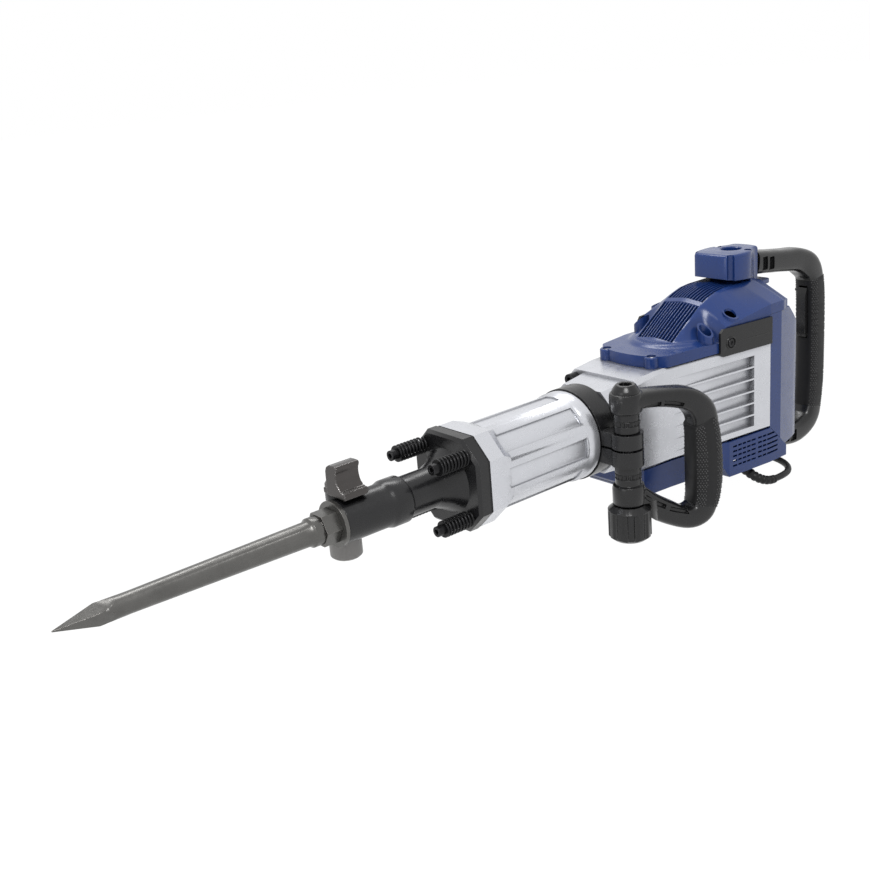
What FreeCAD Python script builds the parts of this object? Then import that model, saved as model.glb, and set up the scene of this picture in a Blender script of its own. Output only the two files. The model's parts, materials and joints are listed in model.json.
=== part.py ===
import FreeCAD, Part
import math
import os

V = FreeCAD.Vector
os.makedirs("parts", exist_ok=True)

# Electric demolition hammer. Millimetres. +X runs back along the tool axis, +Z is up, and the
# side handle stands on the -Y side. The origin is on the tool axis at the front face of the nose.

# ---------------------------------------------------------------- driving dimensions
PRESS_GAP = 0.05          # radial room of a part that is pressed or bolted in
RUN_GAP = 0.05            # radial room of a shaft or pin that turns
SLIDE_GAP = 0.06          # radial room of a ram or piston in its bore
BODY_GAP = 0.3            # room between faces that only lie near each other

# chisel and its hexagon shank
HEX_AF = 30.0
SHANK_END_X = 136.0
CHISEL_TIP_X = -274.0
CHISEL_COLLAR_X = (-27.0, -17.0)
CHISEL_COLLAR_R = 14.2
CHISEL_NECK_R = 12.0
CHISEL_POINT_R = 9.6
CHISEL_POINT_LEN = 66.0
NOTCH_TRAVEL_OUT = 12.0
NOTCH_TRAVEL_IN = 10.0

# nose
NOSE_TUBE_R = 22.0
NOSE_COLLAR_R = 24.0
NOSE_COLLAR_X = (57.0, 83.0)
NOSE_WAIST_R = 20.8
NOSE_FLARE_X = 116.0
NOSE_FLANGE_X = (140.0, 154.0)
FLANGE_FLAT = 49.0        # half the width across the flange's upright flats
FLANGE_DIAGONAL = 53.7    # from the axis to the sloping flats
CHAMBER_R = 20.2
CHAMBER_X = 100.0
SLEEVE_R = 19.6
SLEEVE_LIP_R = 22.8
SLEEVE_LIP_LEN = 4.0

# tool retainer
RETAINER_X = 25.0
RETAINER_Y = 20.0
RETAINER_SHAFT_R = 9.0
RETAINER_BOSS_R = 14.0
RETAINER_CAP_R = 16.0
RETAINER_CAP_LEN = 22.0
NOSE_HALF_HEIGHT = 24.5   # where the retainer's lever and cap seat on the nose
LEVER_TOP_Z = 56.0

# damper bolts and springs between the nose and the barrel
DAMPER_PITCH = 64.0
DAMPER_BOLT_R = 4.0
DAMPER_HEAD_R = 5.4
DAMPER_HEAD_X = (96.5, 104.5)
WASHER_R = 8.6
WASHER_THICK = 1.6
SPRING_R = 8.9
SPRING_WIRE = 2.4
SPRING_TURNS = 6.5
BUFFER_THICK = 3.0

# barrel
BARREL_REAR_X = 312.0
BARREL_R = 47.6
BARREL_BLOCK_REAR_X = 176.0
BARREL_RING_R = 49.6
BARREL_RING_X = 300.0
PANEL_COUNT = 8
PANEL_SPREAD = 26.0       # degrees round the barrel
PANEL_DEPTH = 1.6
PANEL_X = (184.0, 294.0)

# hammer mechanism
BORE_R = 27.0
LINER_WALL = 4.0
LINER_X = (207.0, 422.0)
BUSHING_X = (190.5, 206.5)
ANVIL_TAIL_R = 13.0
ANVIL_HEAD_R = 19.4
ANVIL_FRONT_X = 136.6
RAM_FRONT_X = 227.5
RAM_LEN = 62.0
PISTON_FRONT_X = 342.0
PISTON_LEN = 42.0
PISTON_CROWN = 14.0
PISTON_SKIRT_R = 20.0
WRIST_PIN_SETBACK = 28.0
WRIST_PIN_R = 7.0
CRANK_THROW = 22.0
CRANK_X = 462.0
CRANK_PIN_R = 7.0
CRANK_DISC_R = 30.0
CRANK_DISC_Z = (12.0, 22.0)
CRANK_SHAFT_R = 10.0
ROD_HALF_THICK = 7.0

# two gear steps; centre distances follow from module and teeth
PINION_TEETH = 14
WHEEL_TEETH = 42
MOTOR_MODULE = 1.25
CRANK_MODULE = 1.5
BACKLASH = 0.22
CRANK_GEAR_Z = (60.0, 68.0)
MOTOR_GEAR_Z = (72.0, 80.0)

# motor
ARMATURE_R = 24.0
AIR_GAP = 1.0
ARMATURE_Z = (-30.0, 20.0)
FIELD_HALF_LEN = 37.0
COIL_LEN = 8.0
FAN_R = 35.0
FAN_Z = (32.0, 42.0)
MOTOR_SHAFT_R = 6.0
MOTOR_SHAFT_BOTTOM_Z = -80.0
COMMUTATOR_R = 14.0
COMMUTATOR_Z = (-57.0, -41.0)
BRUSH_SIZE = 8.0

# crank case
NECK_R = 42.0
CASE_FRONT_X = 338.0
CASE_SHOULDER_X = 372.0
CASE_FLARE_X = 426.0
CASE_REAR_X = 582.0
CASE_HALF_FRONT = 48.0
CASE_HALF_REAR = 69.0
CASE_TOP_Z = 56.0
CASE_BOTTOM_Z = -53.7
CASE_WALL = 6.0
CAVITY_HALF = 45.0
CAVITY_X = (424.0, 578.0)
RIB_FIELD_X = (431.0, 556.0)
RIB_FIELD_Z = (-45.0, 42.5)
RIB_COUNT = 6
RIB_THICK = 2.0
RIB_DEPTH = 7.0
CASE_BOLT_Y = 41.0
CASE_BOLT_Z = 43.0
CASE_BOLT_R = 4.0
CASE_BOLT_HEAD_R = 6.6
CASE_BOLT_HEAD_LEN = 12.0

# covers
COVER_WALL = 3.0
COVER_FRONT_X = 412.0
COVER_TAIL_X = 606.0
COVER_REAR_X = 620.0
COVER_CROWN_Z = 117.0
COVER_ARCH = 3.0          # rise of the roof's middle over its edges
COVER_VENT_HALF = 25.0
VENT_SLOTS = 11
VENT_SLOT_WIDTH = 2.0
MOTOR_COVER_Z = -97.0
MOTOR_COVER_FRONT_Z = -85.0
MOTOR_COVER_X = (385.0, 514.0, 615.7)
REAR_COVER_X = 662.0
REAR_COVER_TOP_Z = 84.7
REAR_COVER_BOTTOM_Z = -84.0
SIDE_PLATE_X = (500.0, 581.5)
SIDE_PLATE_Z = (51.0, 83.0)
SIDE_PLATE_THICK = 3.0

# rear handle and its bracket
BRACKET_X = (559.0, 632.0)
BRACKET_SEAT_X = 600.0
BRACKET_HALF = 31.5
BRACKET_TOP_Z = 152.5
BRACKET_HOLE_R = 12.0
BRACKET_HOLE_DEPTH = 20.0
BRACKET_DROP_HALF = 17.0
BRACKET_LIP_X = 656.0
BRACKET_LIP_Z = (103.0, 108.0)
HANDLE_BOLT_X = 626.0
HANDLE_BOLT_R = 3.5
HANDLE_HALF_THICK = 16.0
GRIP_SLEEVE = 3.0
TRIGGER_HALF = 6.0
TRIGGER_Z = (12.0, 78.0)
TRIGGER_PIN_R = 2.0

# side handle on the clamp band
BAND_X = (312.6, 337.7)
BAND_R = 51.0
HUB_X = 328.0
HUB_Y = -72.0
HUB_R = 17.4
HUB_BOLT_R = 6.0
HUB_TOP_Z = 37.0
TOOTH_TOP_Z = 14.0
TOOTH_LOW_Z = -22.0
HUB_BOTTOM_Z = -66.0
CLAMP_SLIT_Z = (-4.4, -2.0)
EYE_TOP_Z = 52.0
NUT_HEIGHT = 14.0
KNOB_R = 23.0
KNOB_Z = (-106.0, -67.0)
LOOP_SWING = 16.0         # degrees the loop stands outward from the tool axis
LOOP_HALF_THICK = 14.0

# mains cord: the floor is the height of the lowest point of the rear handle
FLOOR_Z = -126.0
CORD_R = 4.0
BOOT_ROUTE = [V(560, -38, -96), V(560, -69.5, -119.3), V(590, -70, -120.8)]
BOOT_R = (6.6, 5.0)
CORD_ROUTE = [V(590, -70, -120.8), V(614, -70.4, -122), V(636, -60, -122), V(650, -39, -122),
              V(654.5, -13, -122), V(653, 14, -122), V(655, 42, -122), V(653.6, 70, -122),
              V(654.4, 96, -122), V(654.4, 118, -122), V(654.0, 136, -122)]
COIL_CENTRE = V(600, 150, 0)
COIL_MID_R = 45.0
COIL_WIDTH = 27.0         # radial width of the wound turns
COIL_LAYERS = 4
PLUG_R = 18.3
PLUG_X = (584.0, 566.0, 532.0)
PLUG_PIN_LEN = 19.0
PLUG_PIN_PITCH = 19.0

AXIS_X = V(1, 0, 0)
AXIS_Y = V(0, 1, 0)
AXIS_Z = V(0, 0, 1)


# ---------------------------------------------------------------- shape helpers
def rod(radius, start, end):
    return Part.makeCylinder(radius, (end - start).Length, start, end - start)


def upright(radius, x, y, low, high):
    return rod(radius, V(x, y, low), V(x, y, high))


def block(x, y, z):
    size = [pair[1] - pair[0] for pair in (x, y, z)]
    return Part.makeBox(*size, V(x[0], y[0], z[0]))


def face_of(points):
    return Part.Face(Part.makePolygon(points + points[:1]))


def plan_prism(outline, z):
    """An outline of (x, y) corners between two heights."""
    return face_of([V(x, y, z[0]) for x, y in outline]).extrude(V(0, 0, z[1] - z[0]))


def side_prism(outline, y):
    """An outline of (x, z) corners between two places across the tool."""
    return face_of([V(x, y[0], z) for x, z in outline]).extrude(V(0, y[1] - y[0], 0))


def turned(outline):
    """An outline of (x, radius) points turned about the tool axis."""
    points = [V(outline[0][0], 0, 0)] + [V(x, 0, r) for x, r in outline] + [V(outline[-1][0], 0, 0)]
    return face_of(points).revolve(V(0, 0, 0), AXIS_X, 360)


def turned_upright(outline, x, y):
    """An outline of (z, radius) points turned about an upright axis."""
    points = [V(x, y, outline[0][0])] + [V(x + r, y, z) for z, r in outline] + [V(x, y, outline[-1][0])]
    return face_of(points).revolve(V(x, y, 0), AXIS_Z, 360)


def ruled(sections):
    """A solid through outlines that all have the same number of corners."""
    wires = [Part.makePolygon(points + points[:1]) for points in sections]
    return Part.makeLoft(wires, True, True)


def mirrored(shape):
    return shape.mirror(V(0, 0, 0), AXIS_Y)


def joined(shapes):
    return shapes[0].multiFuse(shapes[1:]).removeSplitter()


def group(shapes):
    return Part.makeCompound(shapes)


def hexagon(across_flats, x):
    """A hexagon bar along the tool axis with a corner at each side."""
    corner = across_flats / math.sqrt(3)
    turns = [math.radians(60 * i) for i in range(6)]
    points = [V(x[0], corner * math.cos(a), corner * math.sin(a)) for a in turns]
    return face_of(points).extrude(V(x[1] - x[0], 0, 0))


def hexagon_upright(across_flats, x, y, z):
    corner = across_flats / math.sqrt(3)
    turns = [math.radians(60 * i + 30) for i in range(6)]
    return plan_prism([(x + corner * math.cos(a), y + corner * math.sin(a)) for a in turns], z)


def octagon(flat, diagonal, x):
    """An octagon along the tool axis, given its upright flats and its sloping ones."""
    cut = diagonal * math.sqrt(2) - flat
    corners = [(flat, cut), (cut, flat), (-cut, flat), (-flat, cut)]
    points = [V(x, y, z) for y, z in corners + [(-y, -z) for y, z in corners]]
    return points


def four_places(y, z):
    return [(sy * y, sz * z) for sy in (-1, 1) for sz in (-1, 1)]


def case_half(x):
    """Half the width of the crank case at a place along it."""
    share = max(0.0, (x - CASE_FLARE_X) / (CASE_REAR_X - CASE_FLARE_X))
    return CASE_HALF_FRONT + share * (CASE_HALF_REAR - CASE_HALF_FRONT)


def pitch_radius(module, teeth):
    return module * teeth / 2


def spur_gear(module, teeth, x, y, z, bore, turn):
    """A stub-tooth involute gear on an upright axis; turn is the angle of one tooth's middle."""
    pitch = pitch_radius(module, teeth)
    base = pitch * math.cos(math.radians(20))
    tip = pitch + 0.8 * module
    root = pitch - 1.1 * module
    half_tooth = math.pi / (2 * teeth) - BACKLASH / (4 * pitch)
    inv_pitch = math.tan(math.radians(20)) - math.radians(20)
    flank = []
    steps = 5
    for i in range(steps + 1):
        r = max(base, root) + (tip - max(base, root)) * i / steps
        roll = math.acos(min(1.0, base / r))
        flank.append((r, half_tooth + inv_pitch - (math.tan(roll) - roll)))
    if root < base:
        flank.insert(0, (root, flank[0][1]))
    outline = []
    for tooth in range(teeth):
        middle = turn + 2 * math.pi * tooth / teeth
        for r, angle in flank:
            outline.append((x + r * math.cos(middle - angle), y + r * math.sin(middle - angle)))
        for r, angle in reversed(flank):
            outline.append((x + r * math.cos(middle + angle), y + r * math.sin(middle + angle)))
    gear = plan_prism(outline, z)
    if bore:
        gear = gear.cut(upright(bore, x, y, z[0] - 1, z[1] + 1))
    return gear


def socket_screw(radius, head_radius, head_x, end_x, y, z):
    """A socket-head bolt along the tool axis, its head at the front."""
    head = rod(head_radius, V(head_x[0], y, z), V(head_x[1], y, z))
    shank = rod(radius, V(head_x[1], y, z), V(end_x, y, z))
    socket = hexagon(head_radius * 0.95, (head_x[0] - 1, head_x[0] + head_radius * 0.9))
    socket.translate(V(0, y, z))
    return joined([head, shank]).cut(socket)


def recessed_screw(radius, head_radius, head_len, top, direction, length):
    """A countersunk-in screw: head top at a point, driven along a direction, with a cross slot."""
    start = V(*top)
    way = V(*direction).normalize()
    head = rod(head_radius, start, start + way * head_len)
    shank = rod(radius, start + way * head_len, start + way * length)
    socket = rod(head_radius * 0.45, start - way, start + way * head_len * 0.6)
    return joined([head, shank]).cut(socket)


def limb(stations, place, chamfer=0.32):
    """A handle limb: ruled eight-sided sections at (u, z, heading, half_width, half_thickness).

    u and z lie in the handle's own upright plane, heading is the limb's direction there in degrees.
    """
    sections = []
    for u, z, heading, width, thick in stations:
        a = math.radians(heading)
        cw, ct = width * chamfer, thick * chamfer
        corners = [(width, thick - ct), (width - cw, thick), (cw - width, thick), (-width, thick - ct)]
        corners += [(-w, -t) for w, t in corners]
        points = [place(u - w * math.sin(a), z + w * math.cos(a), t) for w, t in corners]
        sections.append(points)
    return ruled(sections)


def loop_place(u, z, out):
    """A point of the side handle's own plane, u out from the hub's axis."""
    a = math.radians(LOOP_SWING)
    return V(HUB_X + u * math.cos(a) + out * math.sin(a), HUB_Y - u * math.sin(a) + out * math.cos(a), z)


def handle_place(x, z, out):
    return V(x, out, z)


def save(node, shape):
    shape.exportStep("parts/" + node + ".step")


# ---------------------------------------------------------------- derived places
LINER_R = BORE_R + LINER_WALL
SEAT_R = LINER_R + PRESS_GAP
ROD_LEN = (CRANK_X - CRANK_THROW) - (PISTON_FRONT_X + WRIST_PIN_SETBACK)
WRIST_PIN_X = PISTON_FRONT_X + WRIST_PIN_SETBACK
CRANK_PIN_X = CRANK_X - CRANK_THROW
INTERMEDIATE_X = CRANK_X + pitch_radius(CRANK_MODULE, PINION_TEETH + WHEEL_TEETH)
MOTOR_X = INTERMEDIATE_X + pitch_radius(MOTOR_MODULE, PINION_TEETH + WHEEL_TEETH)
FIELD_X = (MOTOR_X - FIELD_HALF_LEN, MOTOR_X + FIELD_HALF_LEN)
DAMPER_PLACES = four_places(DAMPER_PITCH / 2, DAMPER_PITCH / 2)
WASHER_X = (DAMPER_HEAD_X[1], DAMPER_HEAD_X[1] + WASHER_THICK)
COIL_R = (COIL_MID_R - COIL_WIDTH / 2, COIL_MID_R + COIL_WIDTH / 2)
CASE_TOP_INNER = CASE_TOP_Z - CASE_WALL


# ---------------------------------------------------------------- tool
def chisel():
    tip_start = CHISEL_TIP_X + CHISEL_POINT_LEN
    body = turned([(CHISEL_TIP_X, CHISEL_POINT_R * 1.1), (tip_start, CHISEL_POINT_R),
                   (CHISEL_COLLAR_X[0] - 2, CHISEL_NECK_R), (CHISEL_COLLAR_X[0], CHISEL_COLLAR_R - 1),
                   (CHISEL_COLLAR_X[0] + 1, CHISEL_COLLAR_R), (CHISEL_COLLAR_X[1] - 1, CHISEL_COLLAR_R),
                   (CHISEL_COLLAR_X[1], CHISEL_COLLAR_R - 1)])
    grown = 1.25
    square = [(0.6, 0), (0, 0.6), (-0.6, 0), (0, -0.6)]
    spread = CHISEL_POINT_R * math.sqrt(2) * grown / 0.6
    near = [V(CHISEL_TIP_X, y, z) for y, z in square]
    far = [V(tip_start, y * spread, z * spread) for y, z in square]
    for points in (near, far):
        for point in points:
            y, z = point.y, point.z
            a = math.radians(24)
            point.y = y * math.cos(a) + z * math.sin(a)
            point.z = z * math.cos(a) - y * math.sin(a)
    rest = block((tip_start, CHISEL_COLLAR_X[1]), (-20, 20), (-20, 20))
    pointed = body.common(ruled([near, far]))
    straight = body.common(rest)
    shank = hexagon(HEX_AF, (CHISEL_COLLAR_X[1], SHANK_END_X))
    corner = HEX_AF / math.sqrt(3)
    shank = shank.common(turned([(CHISEL_COLLAR_X[1], corner + 1), (SHANK_END_X - 4, corner + 1),
                                 (SHANK_END_X, corner - 3)]))
    notch_x = (RETAINER_X - RETAINER_SHAFT_R - NOTCH_TRAVEL_IN - 1,
               RETAINER_X + RETAINER_SHAFT_R + NOTCH_TRAVEL_OUT + 1)
    notch_y = RETAINER_Y - RETAINER_SHAFT_R - 0.5
    shank = shank.cut(block(notch_x, (notch_y, HEX_AF), (-HEX_AF, HEX_AF)))
    return joined([pointed, straight, shank])


# ---------------------------------------------------------------- nose
def nose_housing():
    flange = NOSE_FLANGE_X
    tube = turned([(SLEEVE_LIP_LEN, NOSE_TUBE_R - 1), (SLEEVE_LIP_LEN + 1, NOSE_TUBE_R),
                   (NOSE_COLLAR_X[0], NOSE_TUBE_R), (NOSE_COLLAR_X[0] + 6, NOSE_COLLAR_R),
                   (NOSE_COLLAR_X[1] - 4, NOSE_COLLAR_R), (NOSE_COLLAR_X[1], NOSE_COLLAR_R - 3.5),
                   (NOSE_COLLAR_X[1] + 3, NOSE_WAIST_R), (NOSE_FLARE_X, NOSE_WAIST_R),
                   (NOSE_FLARE_X + 12, NOSE_WAIST_R + 5), (flange[0] - 3, NOSE_WAIST_R + 11),
                   (flange[0] + 2, NOSE_WAIST_R + 15)])
    plate = ruled([octagon(FLANGE_FLAT - 3, FLANGE_DIAGONAL - 3, flange[0]),
                   octagon(FLANGE_FLAT, FLANGE_DIAGONAL, flange[0] + 3),
                   octagon(FLANGE_FLAT, FLANGE_DIAGONAL, flange[1])])
    boss = upright(RETAINER_BOSS_R, RETAINER_X, RETAINER_Y, -NOSE_HALF_HEIGHT, NOSE_HALF_HEIGHT)
    body = joined([tube, plate, boss])
    body = body.cut(rod(SLEEVE_R + PRESS_GAP, V(-5, 0, 0), V(CHAMBER_X, 0, 0)))
    body = body.cut(rod(CHAMBER_R, V(CHAMBER_X - 1, 0, 0), V(flange[1] + 1, 0, 0)))
    body = body.cut(upright(RETAINER_SHAFT_R + RUN_GAP, RETAINER_X, RETAINER_Y, -60, 60))
    for y, z in DAMPER_PLACES:
        body = body.cut(rod(DAMPER_BOLT_R + 0.5, V(90, y, z), V(flange[1] + 1, y, z)))
    return body


def tool_sleeve():
    sleeve = joined([rod(SLEEVE_R, V(0, 0, 0), V(CHAMBER_X - 1, 0, 0)),
                     rod(SLEEVE_LIP_R, V(0, 0, 0), V(SLEEVE_LIP_LEN - 0.1, 0, 0))])
    sleeve = sleeve.cut(hexagon(HEX_AF + 0.4, (-1, CHAMBER_X + 1)))
    return sleeve.cut(upright(RETAINER_SHAFT_R + RUN_GAP, RETAINER_X, RETAINER_Y, -60, 60))


def retainer_shaft():
    shaft = upright(RETAINER_SHAFT_R, RETAINER_X, RETAINER_Y, -NOSE_HALF_HEIGHT - 10, NOSE_HALF_HEIGHT + 6)
    flat = block((RETAINER_X - 20, RETAINER_X + 20), (RETAINER_Y + 2, RETAINER_Y + 20), (-15.5, 15.5))
    return shaft.cut(flat)


def retainer_lever():
    seat = NOSE_HALF_HEIGHT + BODY_GAP
    hub = turned_upright([(seat, 13.5), (seat + 5, 13.5), (seat + 8, 11)], RETAINER_X, RETAINER_Y)
    base = block((RETAINER_X - 18, RETAINER_X + 11), (RETAINER_Y - 34, RETAINER_Y), (seat, seat + 6))
    rear, front = RETAINER_Y - 8, RETAINER_Y - 36
    scoop = [(front, seat), (front, seat + 8), (front + 5, seat + 10), (front + 8, seat + 15),
             (front + 11, seat + 24), (front + 9, LEVER_TOP_Z - 2), (front + 11, LEVER_TOP_Z),
             (rear - 4, LEVER_TOP_Z), (rear, LEVER_TOP_Z - 6), (rear, seat)]
    points = [V(RETAINER_X - 19, y, z) for y, z in scoop]
    thumb = face_of(points).extrude(V(27, 0, 0))
    lever = joined([hub, base, thumb])
    bore = upright(RETAINER_SHAFT_R + PRESS_GAP, RETAINER_X, RETAINER_Y, 0, NOSE_HALF_HEIGHT + 6.1)
    return lever.cut(bore)


def retainer_cap():
    top = -NOSE_HALF_HEIGHT - BODY_GAP
    cap = turned_upright([(top - RETAINER_CAP_LEN, RETAINER_CAP_R - 3), (top - RETAINER_CAP_LEN + 2.5,
                         RETAINER_CAP_R), (top - 1, RETAINER_CAP_R), (top, RETAINER_CAP_R - 1)],
                         RETAINER_X, RETAINER_Y)
    bore = upright(RETAINER_SHAFT_R + PRESS_GAP, RETAINER_X, RETAINER_Y, -NOSE_HALF_HEIGHT - 10.1, 0)
    return cap.cut(bore)


def damper_bolts():
    end = NOSE_FLANGE_X[1] + BUFFER_THICK + 20
    return group([socket_screw(DAMPER_BOLT_R, DAMPER_HEAD_R, DAMPER_HEAD_X, end, y, z)
                  for y, z in DAMPER_PLACES])


def damper_washers():
    washers = []
    for y, z in DAMPER_PLACES:
        washer = rod(WASHER_R, V(WASHER_X[0], y, z), V(WASHER_X[1], y, z))
        washers.append(washer.cut(rod(DAMPER_BOLT_R + 0.1, V(90, y, z), V(120, y, z))))
    return group(washers)


def damper_springs():
    start, end = WASHER_X[1] + SPRING_WIRE / 2, NOSE_FLANGE_X[0] - SPRING_WIRE / 2
    radius = SPRING_R - SPRING_WIRE / 2
    helix = Part.makeHelix((end - start) / SPRING_TURNS, end - start, radius)
    section = Part.Wire(Part.Circle(V(radius, 0, 0), AXIS_Y, SPRING_WIRE / 2).toShape())
    spring = Part.Wire(helix.Edges).makePipeShell([section], True, True)
    spring.rotate(V(0, 0, 0), AXIS_Y, 90)
    springs = []
    for y, z in DAMPER_PLACES:
        one = spring.copy()
        one.translate(V(start, y, z))
        springs.append(one)
    return group(springs)


def nose_buffer():
    x = (NOSE_FLANGE_X[1], NOSE_FLANGE_X[1] + BUFFER_THICK)
    ring = ruled([octagon(FLANGE_FLAT - 1, FLANGE_DIAGONAL - 1, x[0] + 0.02),
                  octagon(FLANGE_FLAT - 1, FLANGE_DIAGONAL - 1, x[1])])
    ring = ring.cut(rod(CHAMBER_R + 2, V(x[0] - 1, 0, 0), V(x[1] + 1, 0, 0)))
    for y, z in DAMPER_PLACES:
        ring = ring.cut(rod(DAMPER_BOLT_R + 0.3, V(x[0] - 1, y, z), V(x[1] + 1, y, z)))
    return ring


# ---------------------------------------------------------------- barrel and mechanism
def barrel():
    front = NOSE_FLANGE_X[1] + BUFFER_THICK
    head = ruled([octagon(FLANGE_FLAT - 0.6, FLANGE_DIAGONAL - 0.8, front),
                  octagon(FLANGE_FLAT - 0.6, FLANGE_DIAGONAL - 0.8, BARREL_BLOCK_REAR_X),
                  octagon(FLANGE_FLAT - 4, FLANGE_DIAGONAL - 7, BARREL_BLOCK_REAR_X + 12)])
    tube = turned([(front + 5, BARREL_R), (BARREL_RING_X - 3, BARREL_R), (BARREL_RING_X, BARREL_RING_R),
                   (BARREL_REAR_X - 1, BARREL_RING_R), (BARREL_REAR_X, BARREL_RING_R - 1)])
    body = joined([head, tube])
    spread = math.radians(PANEL_SPREAD / 2)
    inner = BARREL_R - PANEL_DEPTH
    for i in range(PANEL_COUNT):
        middle = 2 * math.pi * i / PANEL_COUNT
        edges = [middle - spread, middle + spread]
        outer = [(BARREL_R + 4) / math.cos(spread) * math.cos(a) for a in edges]
        outer_z = [(BARREL_R + 4) / math.cos(spread) * math.sin(a) for a in edges]
        wedge = face_of([V(PANEL_X[0], 0, 0), V(PANEL_X[0], outer[0], outer_z[0]),
                         V(PANEL_X[0], outer[1], outer_z[1])]).extrude(V(PANEL_X[1] - PANEL_X[0], 0, 0))
        body = body.cut(wedge.cut(rod(inner, V(PANEL_X[0] - 1, 0, 0), V(PANEL_X[1] + 1, 0, 0))))
    body = body.cut(rod(CHAMBER_R, V(front - 1, 0, 0), V(BUSHING_X[0], 0, 0)))
    body = body.cut(rod(SEAT_R, V(BUSHING_X[0] - 0.5, 0, 0), V(BARREL_REAR_X + 1, 0, 0)))
    for y, z in DAMPER_PLACES:
        body = body.cut(rod(DAMPER_BOLT_R + PRESS_GAP, V(front - 1, y, z), V(front + 20.5, y, z)))
    return body


def anvil():
    head = ANVIL_FRONT_X + 22
    tail = RAM_FRONT_X - NOTCH_TRAVEL_IN - 1
    return turned([(ANVIL_FRONT_X, 13), (ANVIL_FRONT_X + 2, 15), (head - 8, 15), (head, ANVIL_HEAD_R),
                   (head + 18, ANVIL_HEAD_R), (head + 21, ANVIL_TAIL_R), (tail - 2, ANVIL_TAIL_R),
                   (tail, ANVIL_TAIL_R - 2)])


def anvil_bushing():
    ring = rod(LINER_R, V(BUSHING_X[0], 0, 0), V(BUSHING_X[1], 0, 0))
    return ring.cut(rod(ANVIL_TAIL_R + RUN_GAP, V(BUSHING_X[0] - 1, 0, 0), V(BUSHING_X[1] + 1, 0, 0)))


def cylinder_liner():
    tube = rod(LINER_R, V(LINER_X[0], 0, 0), V(LINER_X[1], 0, 0))
    return tube.cut(rod(BORE_R, V(LINER_X[0] - 1, 0, 0), V(LINER_X[1] + 1, 0, 0)))


def ram():
    outer = BORE_R - SLIDE_GAP
    end = RAM_FRONT_X + RAM_LEN
    x = RAM_FRONT_X
    return turned([(x, ANVIL_TAIL_R), (x + 10, ANVIL_TAIL_R), (x + 13, outer - 2), (x + 15, outer),
                   (end - 12, outer), (end - 12, outer - 2), (end - 8, outer - 2), (end - 8, outer),
                   (end, outer)])


def piston():
    outer = BORE_R - SLIDE_GAP
    x = (PISTON_FRONT_X, PISTON_FRONT_X + PISTON_LEN)
    body = turned([(x[0], outer), (x[0] + 4, outer), (x[0] + 4, outer - 2), (x[0] + 8, outer - 2),
                   (x[0] + 8, outer), (x[1], outer)])
    body = body.cut(rod(PISTON_SKIRT_R, V(x[0] + PISTON_CROWN, 0, 0), V(x[1] + 1, 0, 0)))
    return body.cut(upright(WRIST_PIN_R + PRESS_GAP, WRIST_PIN_X, 0, -40, 40))


def connecting_rod():
    thick = (-ROD_HALF_THICK, ROD_HALF_THICK)
    body = joined([upright(WRIST_PIN_R + 4, WRIST_PIN_X, 0, *thick),
                   upright(CRANK_PIN_R + 6, CRANK_PIN_X, 0, *thick),
                   block((WRIST_PIN_X, CRANK_PIN_X), (-6, 6), thick)])
    body = body.cut(upright(WRIST_PIN_R + RUN_GAP, WRIST_PIN_X, 0, -20, 20))
    return body.cut(upright(CRANK_PIN_R + RUN_GAP, CRANK_PIN_X, 0, -20, 20))


def crank_pin():
    return upright(CRANK_PIN_R, CRANK_PIN_X, 0, -ROD_HALF_THICK - 2, CRANK_DISC_Z[0] - BODY_GAP)


def crankshaft():
    disc = upright(CRANK_DISC_R, CRANK_X, 0, *CRANK_DISC_Z)
    shaft = upright(CRANK_SHAFT_R, CRANK_X, 0, CRANK_DISC_Z[1], CRANK_GEAR_Z[1] + 2)
    return joined([disc, shaft])


def bearing(x, y, z, inner, outer):
    ring = upright(outer, x, y, *z)
    ring = ring.cut(upright(inner + RUN_GAP / 2, x, y, z[0] - 1, z[1] + 1))
    groove = 0.22 * (outer - inner)
    for low, high in ((z[0] - 1, z[0] + 0.8), (z[1] - 0.8, z[1] + 1)):
        seal = upright(outer - groove, x, y, low, high)
        ring = ring.cut(seal.cut(upright(inner + groove, x, y, low - 1, high + 1)))
    return ring


CRANK_BEARING_R = 2 * CRANK_SHAFT_R
SMALL_BEARING_R = MOTOR_SHAFT_R + 7
CRANK_BEARING_Z = [(26.0, 36.0), (CASE_TOP_Z - 10, CASE_TOP_Z)]
MOTOR_BEARING_Z = [(MOTOR_SHAFT_BOTTOM_Z + 2, MOTOR_SHAFT_BOTTOM_Z + 12), (CASE_TOP_Z - 10, CASE_TOP_Z)]


def crank_bearings():
    outer = CRANK_BEARING_R - PRESS_GAP
    return group([bearing(CRANK_X, 0, z, CRANK_SHAFT_R, outer) for z in CRANK_BEARING_Z])


def shaft_bearings():
    places = [(MOTOR_X, z) for z in MOTOR_BEARING_Z] + [(INTERMEDIATE_X, MOTOR_BEARING_Z[1])]
    return group([bearing(x, 0, z, MOTOR_SHAFT_R, SMALL_BEARING_R - PRESS_GAP) for x, z in places])


def crank_gear():
    gear = spur_gear(CRANK_MODULE, WHEEL_TEETH, CRANK_X, 0, CRANK_GEAR_Z, CRANK_SHAFT_R + 0.02, 0)
    return gear


def intermediate_gear():
    half_pitch = math.pi / PINION_TEETH
    pinion = spur_gear(CRANK_MODULE, PINION_TEETH, INTERMEDIATE_X, 0, CRANK_GEAR_Z, 0, math.pi + half_pitch)
    wheel = spur_gear(MOTOR_MODULE, WHEEL_TEETH, INTERMEDIATE_X, 0, MOTOR_GEAR_Z, 0, 0)
    low = upright(MOTOR_SHAFT_R, INTERMEDIATE_X, 0, CASE_TOP_Z - 10, CRANK_GEAR_Z[0])
    middle = upright(MOTOR_SHAFT_R + 2, INTERMEDIATE_X, 0, CRANK_GEAR_Z[1], MOTOR_GEAR_Z[0])
    return joined([low, pinion, middle, wheel])


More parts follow.
